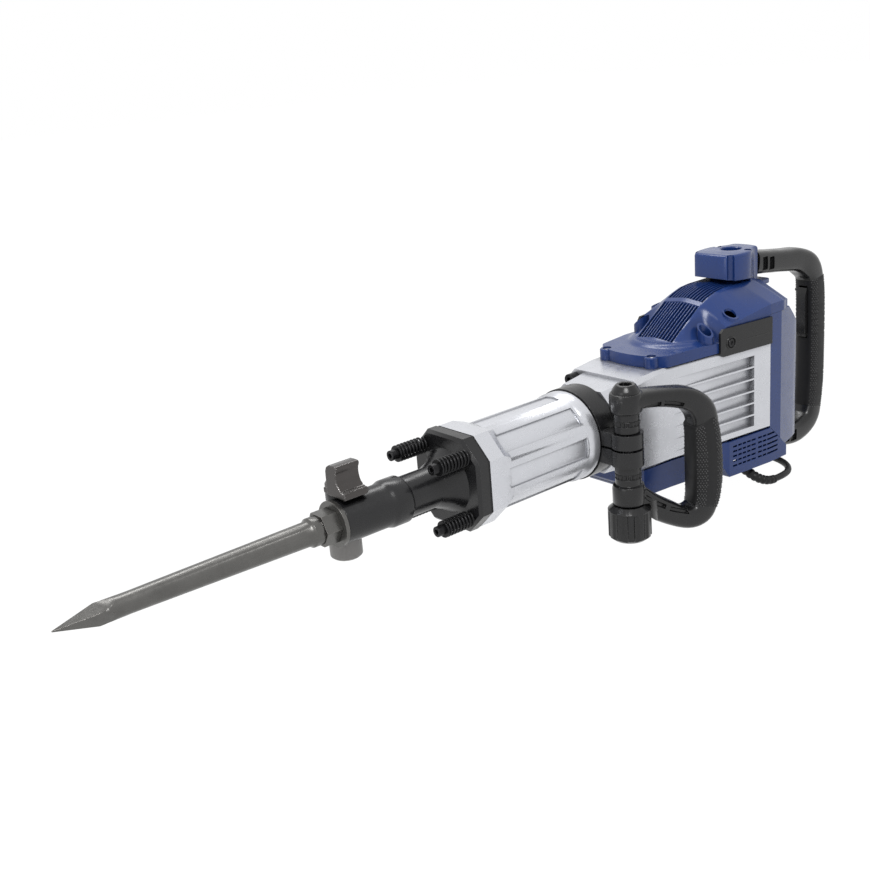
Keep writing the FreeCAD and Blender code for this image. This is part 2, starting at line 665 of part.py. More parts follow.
def motor_shaft():
    half_pitch = math.pi / PINION_TEETH
    shaft = upright(MOTOR_SHAFT_R, MOTOR_X, 0, MOTOR_SHAFT_BOTTOM_Z, MOTOR_GEAR_Z[0])
    pinion = spur_gear(MOTOR_MODULE, PINION_TEETH, MOTOR_X, 0, MOTOR_GEAR_Z, 0, math.pi + half_pitch)
    return joined([shaft, pinion])


def armature_core():
    core = upright(ARMATURE_R, MOTOR_X, 0, *ARMATURE_Z)
    end_coils = [upright(ARMATURE_R - 3, MOTOR_X, 0, ARMATURE_Z[0] - 7, ARMATURE_Z[0]),
                 upright(ARMATURE_R - 3, MOTOR_X, 0, ARMATURE_Z[1], ARMATURE_Z[1] + 7)]
    body = joined([core] + end_coils)
    for i in range(12):
        a = 2 * math.pi * i / 12
        slot = block((ARMATURE_R - 2.5, ARMATURE_R + 1.5), (-1, 1), (ARMATURE_Z[0] - 10, ARMATURE_Z[1] + 10))
        slot.rotate(V(0, 0, 0), AXIS_Z, math.degrees(a))
        slot.translate(V(MOTOR_X, 0, 0))
        body = body.cut(slot)
    return body.cut(upright(MOTOR_SHAFT_R + 0.02, MOTOR_X, 0, -60, 60))


def commutator():
    ring = upright(COMMUTATOR_R, MOTOR_X, 0, *COMMUTATOR_Z)
    return ring.cut(upright(MOTOR_SHAFT_R + 0.02, MOTOR_X, 0, -70, 0))


def cooling_fan():
    hub = upright(MOTOR_SHAFT_R + 5, MOTOR_X, 0, *FAN_Z)
    plate = upright(FAN_R, MOTOR_X, 0, FAN_Z[0], FAN_Z[0] + 2)
    parts = [hub, plate]
    for i in range(11):
        blade = block((MOTOR_SHAFT_R + 4, FAN_R - 1), (0, 1.6), FAN_Z)
        blade.rotate(V(0, 0, 0), AXIS_Z, 360 * i / 11)
        blade.translate(V(MOTOR_X, 0, 0))
        parts.append(blade)
    return joined(parts).cut(upright(MOTOR_SHAFT_R + 0.02, MOTOR_X, 0, 20, 60))


def field_core():
    across = (-CAVITY_HALF + BODY_GAP, CAVITY_HALF - BODY_GAP)
    core = block(FIELD_X, across, ARMATURE_Z)
    return core.cut(upright(ARMATURE_R + AIR_GAP, MOTOR_X, 0, -60, 60))


def field_coils():
    rings = []
    for z in ((ARMATURE_Z[0] - COIL_LEN, ARMATURE_Z[0]), (ARMATURE_Z[1], ARMATURE_Z[1] + COIL_LEN)):
        ring = upright(FIELD_HALF_LEN - 1, MOTOR_X, 0, *z)
        rings.append(ring.cut(upright(ARMATURE_R + AIR_GAP + 1, MOTOR_X, 0, z[0] - 1, z[1] + 1)))
    return group(rings)


BRUSH_Z = (sum(COMMUTATOR_Z) / 2 - BRUSH_SIZE / 2, sum(COMMUTATOR_Z) / 2 + BRUSH_SIZE / 2)
BRUSH_X = (MOTOR_X - BRUSH_SIZE / 2, MOTOR_X + BRUSH_SIZE / 2)


def carbon_brushes():
    near = block(BRUSH_X, (COMMUTATOR_R + 0.3, COMMUTATOR_R + 18), BRUSH_Z)
    return group([near, mirrored(near)])


def brush_holders():
    wall = 2.0
    x = (BRUSH_X[0] - wall, BRUSH_X[1] + wall)
    z = (BRUSH_Z[0] - wall, BRUSH_Z[1] + wall)
    reach = math.sqrt((FIELD_HALF_LEN + 1) ** 2 - (BRUSH_SIZE / 2 + wall) ** 2) - BODY_GAP
    near = block(x, (COMMUTATOR_R + 3, reach), z)
    hole_x = (BRUSH_X[0] - 0.05, BRUSH_X[1] + 0.05)
    hole_z = (BRUSH_Z[0] - 0.05, BRUSH_Z[1] + 0.05)
    near = near.cut(block(hole_x, (0, reach - 3), hole_z))
    return group([near, mirrored(near)])


# ---------------------------------------------------------------- crank case
def case_section(x, half, top, bottom, cut):
    corners = [(half, bottom + cut), (half, top - cut), (half - cut, top), (cut - half, top),
               (-half, top - cut), (-half, bottom + cut), (cut - half, bottom), (half - cut, bottom)]
    return [V(x, y, z) for y, z in corners]


def rib_pocket(low, high):
    """One scooped pocket between two ribs on the +Y side: shallow at the front, deep at the rear."""
    x0, x1 = RIB_FIELD_X
    y0, y1 = case_half(x0), case_half(x1)
    outline = [(x0, y0), (x1, y1 - RIB_DEPTH), (x1, y1 + 3), (x0, y0 + 3)]
    return plan_prism(outline, (low, high))


def crank_case():
    front = ruled([case_section(CASE_FRONT_X, 46.5, 46.5, -46.5, 19),
                   case_section(CASE_SHOULDER_X + 2, 47.5, 50, -49, 17)])
    main = ruled([case_section(CASE_SHOULDER_X, CASE_HALF_FRONT, 53.0, CASE_BOTTOM_Z + 2, 5),
                  case_section(CASE_SHOULDER_X + 30, CASE_HALF_FRONT, CASE_TOP_Z, CASE_BOTTOM_Z, 4),
                  case_section(CASE_FLARE_X, CASE_HALF_FRONT, CASE_TOP_Z, CASE_BOTTOM_Z, 3),
                  case_section(CASE_REAR_X, CASE_HALF_REAR, CASE_TOP_Z, CASE_BOTTOM_Z, 3)])
    neck = rod(NECK_R, V(BARREL_REAR_X + BODY_GAP, 0, 0), V(CASE_FRONT_X + 2, 0, 0))
    body = joined([neck, front, main])
    pitch = (RIB_FIELD_Z[1] - RIB_FIELD_Z[0]) / RIB_COUNT
    for i in range(RIB_COUNT):
        low = RIB_FIELD_Z[0] + i * pitch + RIB_THICK / 2
        pocket = rib_pocket(low, low + pitch - RIB_THICK)
        body = body.cut(pocket).cut(mirrored(pocket))
    body = body.cut(block(CAVITY_X, (-CAVITY_HALF, CAVITY_HALF),
                          (CASE_BOTTOM_Z + CASE_WALL, CASE_TOP_INNER)))
    boss = upright(CRANK_BEARING_R + 4, CRANK_X, 0, 25, CASE_TOP_Z - 1)
    low_bosses = [upright(SMALL_BEARING_R + 3, x, 0, CASE_TOP_Z - 10, CASE_TOP_Z - 1)
                  for x in (INTERMEDIATE_X, MOTOR_X)]
    body = body.fuse(boss).fuse(low_bosses[0]).fuse(low_bosses[1])
    body = body.cut(rod(SEAT_R, V(BARREL_REAR_X - 5, 0, 0), V(CAVITY_X[0] + 1, 0, 0)))
    body = body.cut(upright(CRANK_BEARING_R, CRANK_X, 0, 24, CASE_TOP_Z + 1))
    for x in (INTERMEDIATE_X, MOTOR_X):
        body = body.cut(upright(SMALL_BEARING_R, x, 0, CASE_TOP_Z - 11, CASE_TOP_Z + 1))
    body = body.cut(upright(FIELD_HALF_LEN + 1, MOTOR_X, 0, CASE_BOTTOM_Z - 5, CASE_BOTTOM_Z + 10))
    for x, y in COVER_BOSS_PLACES + COVER_SIDE_PLACES:
        body = body.cut(upright(3 + PRESS_GAP, x, y, COVER_SCREW_END_Z - 0.5, CASE_TOP_Z + 1))
    for x, y in MOTOR_SCREW_PLACES:
        body = body.cut(upright(2 + PRESS_GAP, x, y, CASE_BOTTOM_Z - 1, MOTOR_SCREW_END_Z + 0.5))
    for y, z in REAR_SCREW_PLACES:
        body = body.cut(rod(2 + PRESS_GAP, V(REAR_SCREW_END_X - 0.5, y, z), V(CASE_REAR_X + 1, y, z)))
    for y, z in four_places(CASE_BOLT_Y, CASE_BOLT_Z):
        seat = V(CASE_SHOULDER_X, y, z)
        body = body.cut(rod(CASE_BOLT_R + PRESS_GAP, seat - AXIS_X * 20, seat + AXIS_X * 22))
        body = body.cut(rod(CASE_BOLT_HEAD_R + 0.6, seat - AXIS_X * 30, seat))
    return body.removeSplitter()


def case_bolts():
    head = (CASE_SHOULDER_X - CASE_BOLT_HEAD_LEN, CASE_SHOULDER_X)
    return group([socket_screw(CASE_BOLT_R, CASE_BOLT_HEAD_R, head, CASE_SHOULDER_X + 21, y, z)
                  for y, z in four_places(CASE_BOLT_Y, CASE_BOLT_Z)])


# ---------------------------------------------------------------- covers
def cover_outline(x, base, rows, inset):
    """One outline across the domed cover from (half width, height) corners, rim first, roof last."""
    drop = [0.6 * inset, inset, 1.2 * inset, 1.2 * inset]
    sides = [(y - min(inset, 0.1 * y + 0.5), z - d) for (y, z), d in zip(rows[:-1], drop)]
    corners = [(sides[0][0], base)] + sides
    middle = [V(x, 0, rows[-1][1] - drop[-1])]
    return [V(x, y, z) for y, z in corners] + middle + [V(x, -y, z) for y, z in reversed(corners)]


COVER_TAIL_ROWS = [(CASE_HALF_REAR, 97), (64, 101), (27, COVER_CROWN_Z), (0, COVER_CROWN_Z + COVER_ARCH)]


def gear_cover_sections(inset):
    base = CASE_TOP_Z + 0.1 if inset == 0 else CASE_TOP_Z - 1
    crown = COVER_CROWN_Z
    rows = [(COVER_FRONT_X, [(38, 66), (30, 69), (15, 69.6), (0, 70)]),
            (425, [(47, 66), (38, 70), (20, 72), (0, 73)]),
            (455, [(case_half(455), 64), (45, 68), (26, 75), (0, 77)]),
            (511, [(case_half(511), 64), (54, 68), (26, 105), (0, 108)]),
            (553, [(case_half(553), 70), (60, 84), (27, crown), (0, crown + COVER_ARCH)]),
            (CASE_REAR_X, COVER_TAIL_ROWS)]
    return [cover_outline(x, base, corners, inset) for x, corners in rows]


def gear_cover_tail(inset, front):
    low = REAR_COVER_TOP_Z + BODY_GAP if inset == 0 else REAR_COVER_TOP_Z - 1
    end = [(CASE_HALF_REAR - 4, 95), (61, 99), (26, COVER_CROWN_Z - 3), (0, COVER_CROWN_Z)]
    straight = ruled([cover_outline(front, low, COVER_TAIL_ROWS, inset),
                      cover_outline(COVER_TAIL_X, low, COVER_TAIL_ROWS, inset)])
    taper = ruled([cover_outline(COVER_TAIL_X, low, COVER_TAIL_ROWS, inset),
                   cover_outline(COVER_REAR_X - inset, low, end, inset)])
    return joined([straight, taper])


def gear_cover_outside():
    return joined([ruled(gear_cover_sections(0)), gear_cover_tail(0, CASE_REAR_X - 0.5)])


COVER_BOSS_PLACES = [(415.0, 32.6), (415.0, -32.6)]
COVER_SIDE_PLACES = [(491.0, 46.5), (529.0, 52.0), (491.0, -46.5), (529.0, -52.0)]
COVER_BOSS_R = 8.0
COVER_BOSS_TOP_Z = 68.6
COVER_SIDE_SEAT_Z = 60.0
COVER_SCREW_END_Z = CASE_TOP_Z - 5


def gear_cover():
    body = joined([gear_cover_outside()] + [upright(COVER_BOSS_R, x, y, CASE_TOP_Z + 0.1, COVER_BOSS_TOP_Z)
                                            for x, y in COVER_BOSS_PLACES])
    inner = gear_cover_sections(COVER_WALL)
    for section in inner[:1]:
        for point in section:
            point.x += COVER_WALL
    hollow = ruled(inner)
    for x, y in COVER_BOSS_PLACES + COVER_SIDE_PLACES:
        hollow = hollow.cut(upright(COVER_BOSS_R + 1, x, y, CASE_TOP_Z - 5, COVER_CROWN_Z))
    body = body.cut(hollow).cut(gear_cover_tail(COVER_WALL, CASE_REAR_X - 1))
    for x, y in COVER_BOSS_PLACES:
        body = body.cut(upright(3.1, x, y, CASE_TOP_Z - 1, 80))
        body = body.cut(upright(5.2, x, y, COVER_BOSS_TOP_Z - 5, 80))
    for x, y in COVER_SIDE_PLACES:
        body = body.cut(upright(3.1, x, y, CASE_TOP_Z - 1, 80))
        body = body.cut(upright(7, x, y, COVER_SIDE_SEAT_Z + 3, 110))
    x, z = SIDE_SCREW
    body = body.cut(rod(2.2, V(x, -90, z), V(x, 90, z)))
    for x, y in BRACKET_SCREW_PLACES:
        body = body.cut(upright(2 + PRESS_GAP, x, y, BRACKET_SCREW_END_Z - 1, COVER_CROWN_Z + 5))
    pitch = 2 * COVER_VENT_HALF / VENT_SLOTS
    for i in range(VENT_SLOTS):
        y = -COVER_VENT_HALF + (i + 0.5) * pitch
        across = (y - VENT_SLOT_WIDTH / 2, y + VENT_SLOT_WIDTH / 2)
        body = body.cut(block((458, 508), across, (MOTOR_GEAR_Z[1] - 12, COVER_CROWN_Z + 5)))
        body = body.cut(block((514, BRACKET_SEAT_X - 3), across, (90, COVER_CROWN_Z + 5)))
    return body


def gear_cover_screws():
    front_top = COVER_BOSS_TOP_Z - 1.6
    side_top = COVER_SIDE_SEAT_Z + 7
    front = [recessed_screw(3, 5, 3.4, (x, y, front_top), (0, 0, -1), front_top - COVER_SCREW_END_Z)
             for x, y in COVER_BOSS_PLACES]
    sides = [recessed_screw(3, 5, 4, (x, y, side_top), (0, 0, -1), side_top - COVER_SCREW_END_Z)
             for x, y in COVER_SIDE_PLACES]
    return group(front + sides)


def motor_cover():
    front, step, rear = MOTOR_COVER_X
    top = CASE_BOTTOM_Z - 0.1
    sloped = [(front, top), (CASE_REAR_X + 1.5, top), (rear, top - 30), (rear, MOTOR_COVER_Z),
              (step, MOTOR_COVER_Z), (step - 6, MOTOR_COVER_FRONT_Z), (front + 6, MOTOR_COVER_FRONT_Z),
              (front, MOTOR_COVER_FRONT_Z + 8)]
    plan = [(front, -44), (CASE_FLARE_X, -CASE_HALF_FRONT + 0.5), (step - 5, 0.5 - case_half(step - 5)),
            (step, -case_half(step) - 2), (CASE_REAR_X, -CASE_HALF_REAR), (rear, -CASE_HALF_REAR)]
    plan += [(x, -y) for x, y in reversed(plan)]
    body = side_prism(sloped, (-80, 80)).common(plan_prism(plan, (MOTOR_COVER_Z - 5, top + 5)))
    w = COVER_WALL
    hollow_plan = [(front + w, -44 + w), (CASE_FLARE_X, w - CASE_HALF_FRONT + 0.5),
                   (step - 5 + w, w + 0.5 - case_half(step - 5)), (step + w, w - case_half(step) - 2),
                   (CASE_REAR_X, w - CASE_HALF_REAR), (rear - w, w - CASE_HALF_REAR)]
    hollow_plan += [(x, -y) for x, y in reversed(hollow_plan)]
    floor, front_floor = MOTOR_COVER_Z + w, MOTOR_COVER_FRONT_Z + w
    hollow_side = [(front + w, top + 1), (CASE_REAR_X, top + 1), (CASE_REAR_X, top - w), (rear - w, top - 30 - w),
                   (rear - w, floor), (step + w, floor), (step - 6 + w, front_floor), (front + w, front_floor)]
    hollow = side_prism(hollow_side, (-80, 80)).common(plan_prism(hollow_plan, (MOTOR_COVER_Z, top + 5)))
    boss_r = SMALL_BEARING_R + 3
    hollow = hollow.cut(upright(boss_r, MOTOR_X, 0, MOTOR_COVER_Z, MOTOR_BEARING_Z[0][1]))
    body = body.cut(hollow)
    low, high = MOTOR_SHAFT_BOTTOM_Z - 1, MOTOR_BEARING_Z[0][1] + 1
    body = body.cut(upright(SMALL_BEARING_R, MOTOR_X, 0, low, high))
    rows = 5
    for i in range(rows):
        z = -61 - i * 6
        for x in ((520, 558), (562, 598)):
            slot = block(x, (-90, 90), (z - 1.1, z + 1.1))
            body = body.cut(slot.cut(block((500, 620), (-50, 50), (-100, -50))))
    start, corner = BOOT_ROUTE[0], BOOT_ROUTE[1]
    way = (corner - start).normalize()
    body = body.cut(rod(BOOT_R[0] + 0.1, start - way * 20, start + way * 20))
    for x, y in MOTOR_SCREW_PLACES:
        body = body.fuse(upright(5.5, x, y, MOTOR_COVER_FRONT_Z + 1, CASE_BOTTOM_Z - 0.1))
        body = body.cut(upright(2.1, x, y, MOTOR_COVER_Z, CASE_BOTTOM_Z + 1))
        body = body.cut(upright(4.3, x, y, MOTOR_COVER_Z - 1, MOTOR_COVER_FRONT_Z + 6))
    return body.removeSplitter()


MOTOR_SCREW_PLACES = [(400.0, 33.0), (400.0, -33.0), (488.0, 44.0), (488.0, -44.0)]
MOTOR_SCREW_END_Z = CASE_BOTTOM_Z + 4.5


def motor_cover_screws():
    start = MOTOR_COVER_FRONT_Z + 3
    return group([recessed_screw(2, 4, 3, (x, y, start), (0, 0, 1), MOTOR_SCREW_END_Z - start)
                  for x, y in MOTOR_SCREW_PLACES])


def rear_cover_block(inset):
    """The rear cover's outside, or its hollow when inset by the wall."""
    x0 = CASE_REAR_X + (0.1 if inset == 0 else -1)
    x1 = REAR_COVER_X - inset
    low, high = REAR_COVER_BOTTOM_Z + inset, REAR_COVER_TOP_Z - inset
    seam = CASE_BOTTOM_Z + inset
    rear = MOTOR_COVER_X[2]
    side = [(x0, high), (628 - 0.4 * inset, high), (652 - 0.6 * inset, 64 - inset), (x1, 56 - 0.6 * inset),
            (x1, low), (rear + 0.4 + 0.6 * inset, low), (CASE_REAR_X + 1.9 + 0.4 * inset, seam), (x0, seam)]
    half = CASE_HALF_REAR
    plan = [(x0, inset - half), (603 - 0.2 * inset, inset - half), (644 - 0.5 * inset, inset + 11.5 - half),
            (656 - 0.8 * inset, inset + 16 - half), (x1, 0.5 * inset + 25 - half)]
    plan += [(x, -y) for x, y in reversed(plan)]
    return side_prism(side, (-80, 80)).common(plan_prism(plan, (low - 5, high + 5)))


def rear_cover():
    x0, x1 = CASE_REAR_X - 2, REAR_COVER_X
    hollow = rear_cover_block(COVER_WALL)
    for y, z in REAR_SCREW_PLACES:
        hollow = hollow.cut(rod(6.5, V(x0, y, z), V(x1, y, z)))
    body = rear_cover_block(0).cut(hollow)
    for y, z in REAR_SCREW_PLACES:
        body = body.cut(rod(2.1, V(x0, y, z), V(x1 + 1, y, z)))
        body = body.cut(rod(4.3, V(x1 - REAR_SCREW_RECESS - 3, y, z), V(x1 + 1, y, z)))
    return body


REAR_SCREW_PLACES = four_places(36.0, 36.0)
REAR_SCREW_RECESS = 22.0
REAR_SCREW_END_X = CASE_REAR_X - 3


def rear_cover_screws():
    start = REAR_COVER_X - REAR_SCREW_RECESS
    return group([recessed_screw(2, 4, 3, (start, y, z), (-1, 0, 0), start - REAR_SCREW_END_X)
                  for y, z in REAR_SCREW_PLACES])


FLARE_ANGLE = math.degrees(math.atan2(CASE_HALF_REAR - CASE_HALF_FRONT, CASE_REAR_X - CASE_FLARE_X))
SIDE_SCREW = (516.0, 65.4)


def side_plate():
    """The plate on the +Y side, lying on the flared wall."""
    x0, x1 = SIDE_PLATE_X
    y0, y1 = case_half(x0) + 0.1, case_half(x1) + 0.1
    plan = [(x0, y0), (x1, y1), (x1, y1 + SIDE_PLATE_THICK), (x0, y0 + SIDE_PLATE_THICK)]
    low, high = SIDE_PLATE_Z
    side = [(x0 + 4, low), (x1, low), (x1, high), (x0 + 4, high), (x0, high - 4), (x0, low + 4)]
    plate = plan_prism(plan, SIDE_PLATE_Z).common(side_prism(side, (0, 90)))
    x, z = SIDE_SCREW
    y = case_half(x) + 0.1 + SIDE_PLATE_THICK
    seat = rod(5.6, V(x, y - 1.5, z), V(x, y + 5, z))
    hole = rod(2.2, V(x, y - 20, z), V(x, y + 5, z))
    return plate.cut(seat).cut(hole)


def side_plate_screws():
    x, z = SIDE_SCREW
    y = case_half(x) + 0.1 + SIDE_PLATE_THICK
    screw = recessed_screw(2, 5, 2.2, (x, y + 0.8, z), (0, -1, 0), 15)
    return group([screw, mirrored(screw)])


# ---------------------------------------------------------------- rear handle
BRACKET_SCREW_END_Z = COVER_CROWN_Z - 4
HANDLE_TONGUE = [(613.5, 132.8, -8.0, 12.0, 13.0), (635, 129.8, -8.0, 12.5, 13.0)]
HANDLE_TOP = [(634.8, 129.8, -8.0, 14.5, 16.0), (700, 120.6, -8.0, 14.0, 15.5),
              (730, 115.8, -12.0, 15.0, 15.5), (752, 107.0, -42.0, 16.5, 16.0), (763, 88.0, -80.0, 15.5, 16.0)]
HANDLE_GRIP = [(763, 88.0, -80.0, 13.0, 13.5), (766, 40.0, -90.0, 13.0, 13.0),
               (766, -40.0, -90.0, 13.0, 13.0), (763, -82.0, -98.0, 13.0, 13.5)]
HANDLE_LOW = [(763, -82.0, -98.0, 15.5, 16.0), (753, -100.0, -132.0, 15.5, 16.0),
              (734, -109.8, -170.0, 15.2, 15.5), (700, -108.0, -198.0, 14.0, 15.0),
              (680, -92.0, -224.0, 13.5, 15.0), (648, -60.0, -225.0, 13.5, 15.0)]


def trigger_pocket(extra):
    low, high = TRIGGER_Z
    return block((740, 757), (-TRIGGER_HALF - extra, TRIGGER_HALF + extra), (low - 2 - extra, high + extra))


def switch_room(gap):
    return block((757 - 1, 771 + gap), (-8 - gap, 8 + gap), (20 - gap, 62 + gap))


def rear_handle():
    core = limb(HANDLE_GRIP, handle_place)
    body = joined([limb(HANDLE_TONGUE, handle_place), limb(HANDLE_TOP, handle_place), core,
                   limb(HANDLE_LOW, handle_place)])
    body = body.cut(block((REAR_COVER_X - 40, REAR_COVER_X + 0.1), (-40, 40), (FLOOR_Z, 60)))
    body = body.cut(trigger_pocket(BODY_GAP)).cut(switch_room(0.0))
    body = body.cut(upright(HANDLE_BOLT_R + 0.1, HANDLE_BOLT_X, 0, 100, 170))
    return body.cut(rod(TRIGGER_PIN_R + RUN_GAP, V(TRIGGER_PIN[0], -20, TRIGGER_PIN[1]),
                        V(TRIGGER_PIN[0], 20, TRIGGER_PIN[1])))


TRIGGER_PIN = (752.0, TRIGGER_Z[1] - 6)


def rear_handle_grip():
    outer = [(u, z, h, w + GRIP_SLEEVE, t + GRIP_SLEEVE) for u, z, h, w, t in HANDLE_GRIP]
    sleeve = limb(outer, handle_place).cut(limb(HANDLE_GRIP, handle_place))
    x, z = TRIGGER_PIN
    return sleeve.cut(trigger_pocket(BODY_GAP)).cut(rod(TRIGGER_PIN_R + 1, V(x, -30, z), V(x, 30, z)))


def trigger():
    low, high = TRIGGER_Z
    outline = [(744, low + 8), (747, low), (750.5, low), (751.5, high - 16), (755.2, high - 10),
               (755.2, high - 2), (748, high - 2), (744, high - 12)]
    paddle = side_prism(outline, (-TRIGGER_HALF, TRIGGER_HALF))
    pin = rod(TRIGGER_PIN_R, V(TRIGGER_PIN[0], -13, TRIGGER_PIN[1]), V(TRIGGER_PIN[0], 13, TRIGGER_PIN[1]))
    return joined([paddle, pin])


def switch_block():
    return block((757.3, 770.7), (-7.7, 7.7), (20.3, 61.7))


def handle_bracket():
    x0, x1 = BRACKET_X
    seat = BRACKET_SEAT_X
    top, low = BRACKET_TOP_Z, BRACKET_LIP_Z[0]
    half = BRACKET_HALF
    drop = BRACKET_DROP_HALF
    plan = [(x0, 13 - half), (x0 + 3, 6.5 - half), (x0 + 13, 1.5 - half), (x0 + 37, -half),
            (x0 + 53, 9.5 - half), (x1 - 11, 13.5 - half), (x1, -drop)]
    plan += [(x, -y) for x, y in reversed(plan)]
    side = [(x0, COVER_CROWN_Z + 11), (x0, top), (x1, top), (x1, low), (seat, low),
            (seat - 2, COVER_CROWN_Z + 4)]
    body = plan_prism(plan, (low, top)).common(side_prism(side, (-80, 80)))
    body = body.cut(block((seat - 5, COVER_REAR_X + 0.4), (-80, 80), (low - 1, COVER_CROWN_Z - 6)))
    cover = gear_cover_outside()
    cover.translate(V(0, 0, 0.1))
    body = body.cut(cover)
    lip = [(x1 - 10, -drop), (BRACKET_LIP_X - 6, -drop), (BRACKET_LIP_X, 6 - drop)]
    lip += [(x, -y) for x, y in reversed(lip)]
    body = body.fuse(plan_prism(lip, BRACKET_LIP_Z))
    room = [(613.0, 132.8, -8.0, 12.4, 13.4), (640, 129.0, -8.0, 12.9, 13.4)]
    body = body.cut(limb(room, handle_place, 0.0))
    body = body.cut(upright(BRACKET_HOLE_R, seat, 0, top - BRACKET_HOLE_DEPTH, top + 1))
    body = body.cut(upright(HANDLE_BOLT_R + 0.1, HANDLE_BOLT_X, 0, BRACKET_LIP_Z[1] - 0.1, top - 2.4))
    for side_y in (-1, 1):
        body = body.cut(upright(4.5, x0 + 6, side_y * (half - 5.5), low, top + 1))
    for x, y in BRACKET_SCREW_PLACES:
        body = body.cut(upright(2.1, x, y, 100, 170)).cut(upright(4.4, x, y, top - 12, 170))
    return body.removeSplitter()


BRACKET_SCREW_PLACES = [(603.0, 21.5), (603.0, -21.5)]


def bracket_screws():
    head_z = BRACKET_TOP_Z - 9
    return group([recessed_screw(2, 4, 3, (x, y, head_z), (0, 0, -1), head_z - BRACKET_SCREW_END_Z)
                  for x, y in BRACKET_SCREW_PLACES])


def handle_bolt():
    return upright(HANDLE_BOLT_R, HANDLE_BOLT_X, 0, BRACKET_LIP_Z[1], BRACKET_TOP_Z - 2.5)


# ---------------------------------------------------------------- clamp band and side handle
def clamp_band():
    ring = rod(BAND_R, V(BAND_X[0], 0, 0), V(BAND_X[1], 0, 0))
    hub = upright(HUB_R, HUB_X, HUB_Y, TOOTH_LOW_Z, TOOTH_TOP_Z)
    web = block((BAND_X[0] + 1, BAND_X[1]), (HUB_Y, -38), (TOOTH_LOW_Z, TOOTH_TOP_Z))
    body = joined([ring, hub, web])
    body = body.cut(rod(NECK_R + BODY_GAP, V(BAND_X[0] - 1, 0, 0), V(BAND_X[1] + 1, 0, 0)))
    body = body.cut(block((BAND_X[0] - 5, BAND_X[1] + 25), (HUB_Y - HUB_R - 5, -35), CLAMP_SLIT_Z))
    return body.cut(upright(HUB_BOLT_R + 0.1, HUB_X, HUB_Y, -60, 60))


LOOP_TOP = [(2, 44.8, 4, 7.2, 13.0), (20, 46.0, 0, 8.4, 13.5), (50, 40.2, -16, 10.8, 14.0),
            (72, 31.5, -27, 13.0, 15.0), (88, 19.0, -50, 16.5, 16.0), (94.5, 4.0, -76, 18.5, 17.0)]
LOOP_CORE = [(94.5, 4.0, -76, 16.0, 14.5), (95.5, -30.0, -90, 16.5, 14.5), (95.5, -58.0, -90, 16.5, 14.5),
             (93.5, -84.0, -98, 16.0, 14.5)]
LOOP_LOW = [(93.5, -84.0, -98, 18.5, 17.0), (86, -97.0, -130, 15.5, 16.0), (70, -98.0, -168, 13.0, 15.0),
            (48, -87.5, -206, 13.0, 14.5), (24, -72.0, -216, 13.5, 14.5), (6, -56.0, -236, 13.5, 14.0),
            (0, -44.0, -270, 14.0, 14.0)]


def side_handle():
    top_eye = upright(HUB_R, HUB_X, HUB_Y, TOOTH_TOP_Z + BODY_GAP, EYE_TOP_Z)
    low_eye = upright(HUB_R, HUB_X, HUB_Y, HUB_BOTTOM_Z, TOOTH_LOW_Z - BODY_GAP)
    limbs = [limb(stations, loop_place) for stations in (LOOP_TOP, LOOP_CORE, LOOP_LOW)]
    body = joined([top_eye] + limbs + [low_eye])
    body = body.cut(upright(KNOB_R + 2, HUB_X, HUB_Y, KNOB_Z[0] - 5, HUB_BOTTOM_Z))
    body = body.cut(upright(HUB_R + BODY_GAP, HUB_X, HUB_Y, EYE_TOP_Z, EYE_TOP_Z + 20))
    return body.cut(upright(HUB_BOLT_R + 0.1, HUB_X, HUB_Y, -90, 60))


def side_handle_grip():
    outer = [(u, z, h, w + GRIP_SLEEVE, t + GRIP_SLEEVE) for u, z, h, w, t in LOOP_CORE]
    return limb(outer, loop_place).cut(limb(LOOP_CORE, loop_place))


def side_handle_bolt():
    return upright(HUB_BOLT_R, HUB_X, HUB_Y, KNOB_Z[0] + 12, EYE_TOP_Z + 7)


def side_handle_nut():
    z0, z1 = EYE_TOP_Z + 0.1, EYE_TOP_Z + NUT_HEIGHT
    outline = [(z0, HUB_R), (z0 + 4, HUB_R), (z0 + 9, HUB_R - 2), (z1, HUB_R - 7)]
    body = turned_upright(outline, HUB_X, HUB_Y)
    body = body.cut(upright(HUB_BOLT_R + PRESS_GAP, HUB_X, HUB_Y, z0 - 1, EYE_TOP_Z + 7.1))
    return body.cut(hexagon_upright(13, HUB_X, HUB_Y, (EYE_TOP_Z + 7.1, z1 + 1)))


KNOB_FLUTES = 12


def side_handle_knob():
    low, high = KNOB_Z
    outline = [(low, KNOB_R - 5), (low + 4, KNOB_R), (high - 5, KNOB_R), (high, KNOB_R - 6)]
    body = turned_upright(outline, HUB_X, HUB_Y)
    for i in range(KNOB_FLUTES):
        a = 2 * math.pi * i / KNOB_FLUTES
        x, y = HUB_X + (KNOB_R + 2.2) * math.cos(a), HUB_Y + (KNOB_R + 2.2) * math.sin(a)
        body = body.cut(upright(4.0, x, y, low - 1, high - 6))
    return body.cut(upright(HUB_BOLT_R + RUN_GAP, HUB_X, HUB_Y, low + 12, high + 1))


# ---------------------------------------------------------------- mains cord
def cord_boot():
    a, b, c = BOOT_ROUTE
    wires = []
    steps = 9
    for i in range(steps + 1):
        t = i / steps
        centre = a * (1 - t) ** 2 + b * (2 * t * (1 - t)) + c * t ** 2
        way = (b - a) * (1 - t) + (c - b) * t
        radius = BOOT_R[0] + (BOOT_R[1] - BOOT_R[0]) * t
        wires.append(Part.Wire(Part.Circle(centre, way, radius).toShape()))
    return Part.makeLoft(wires, True, True)


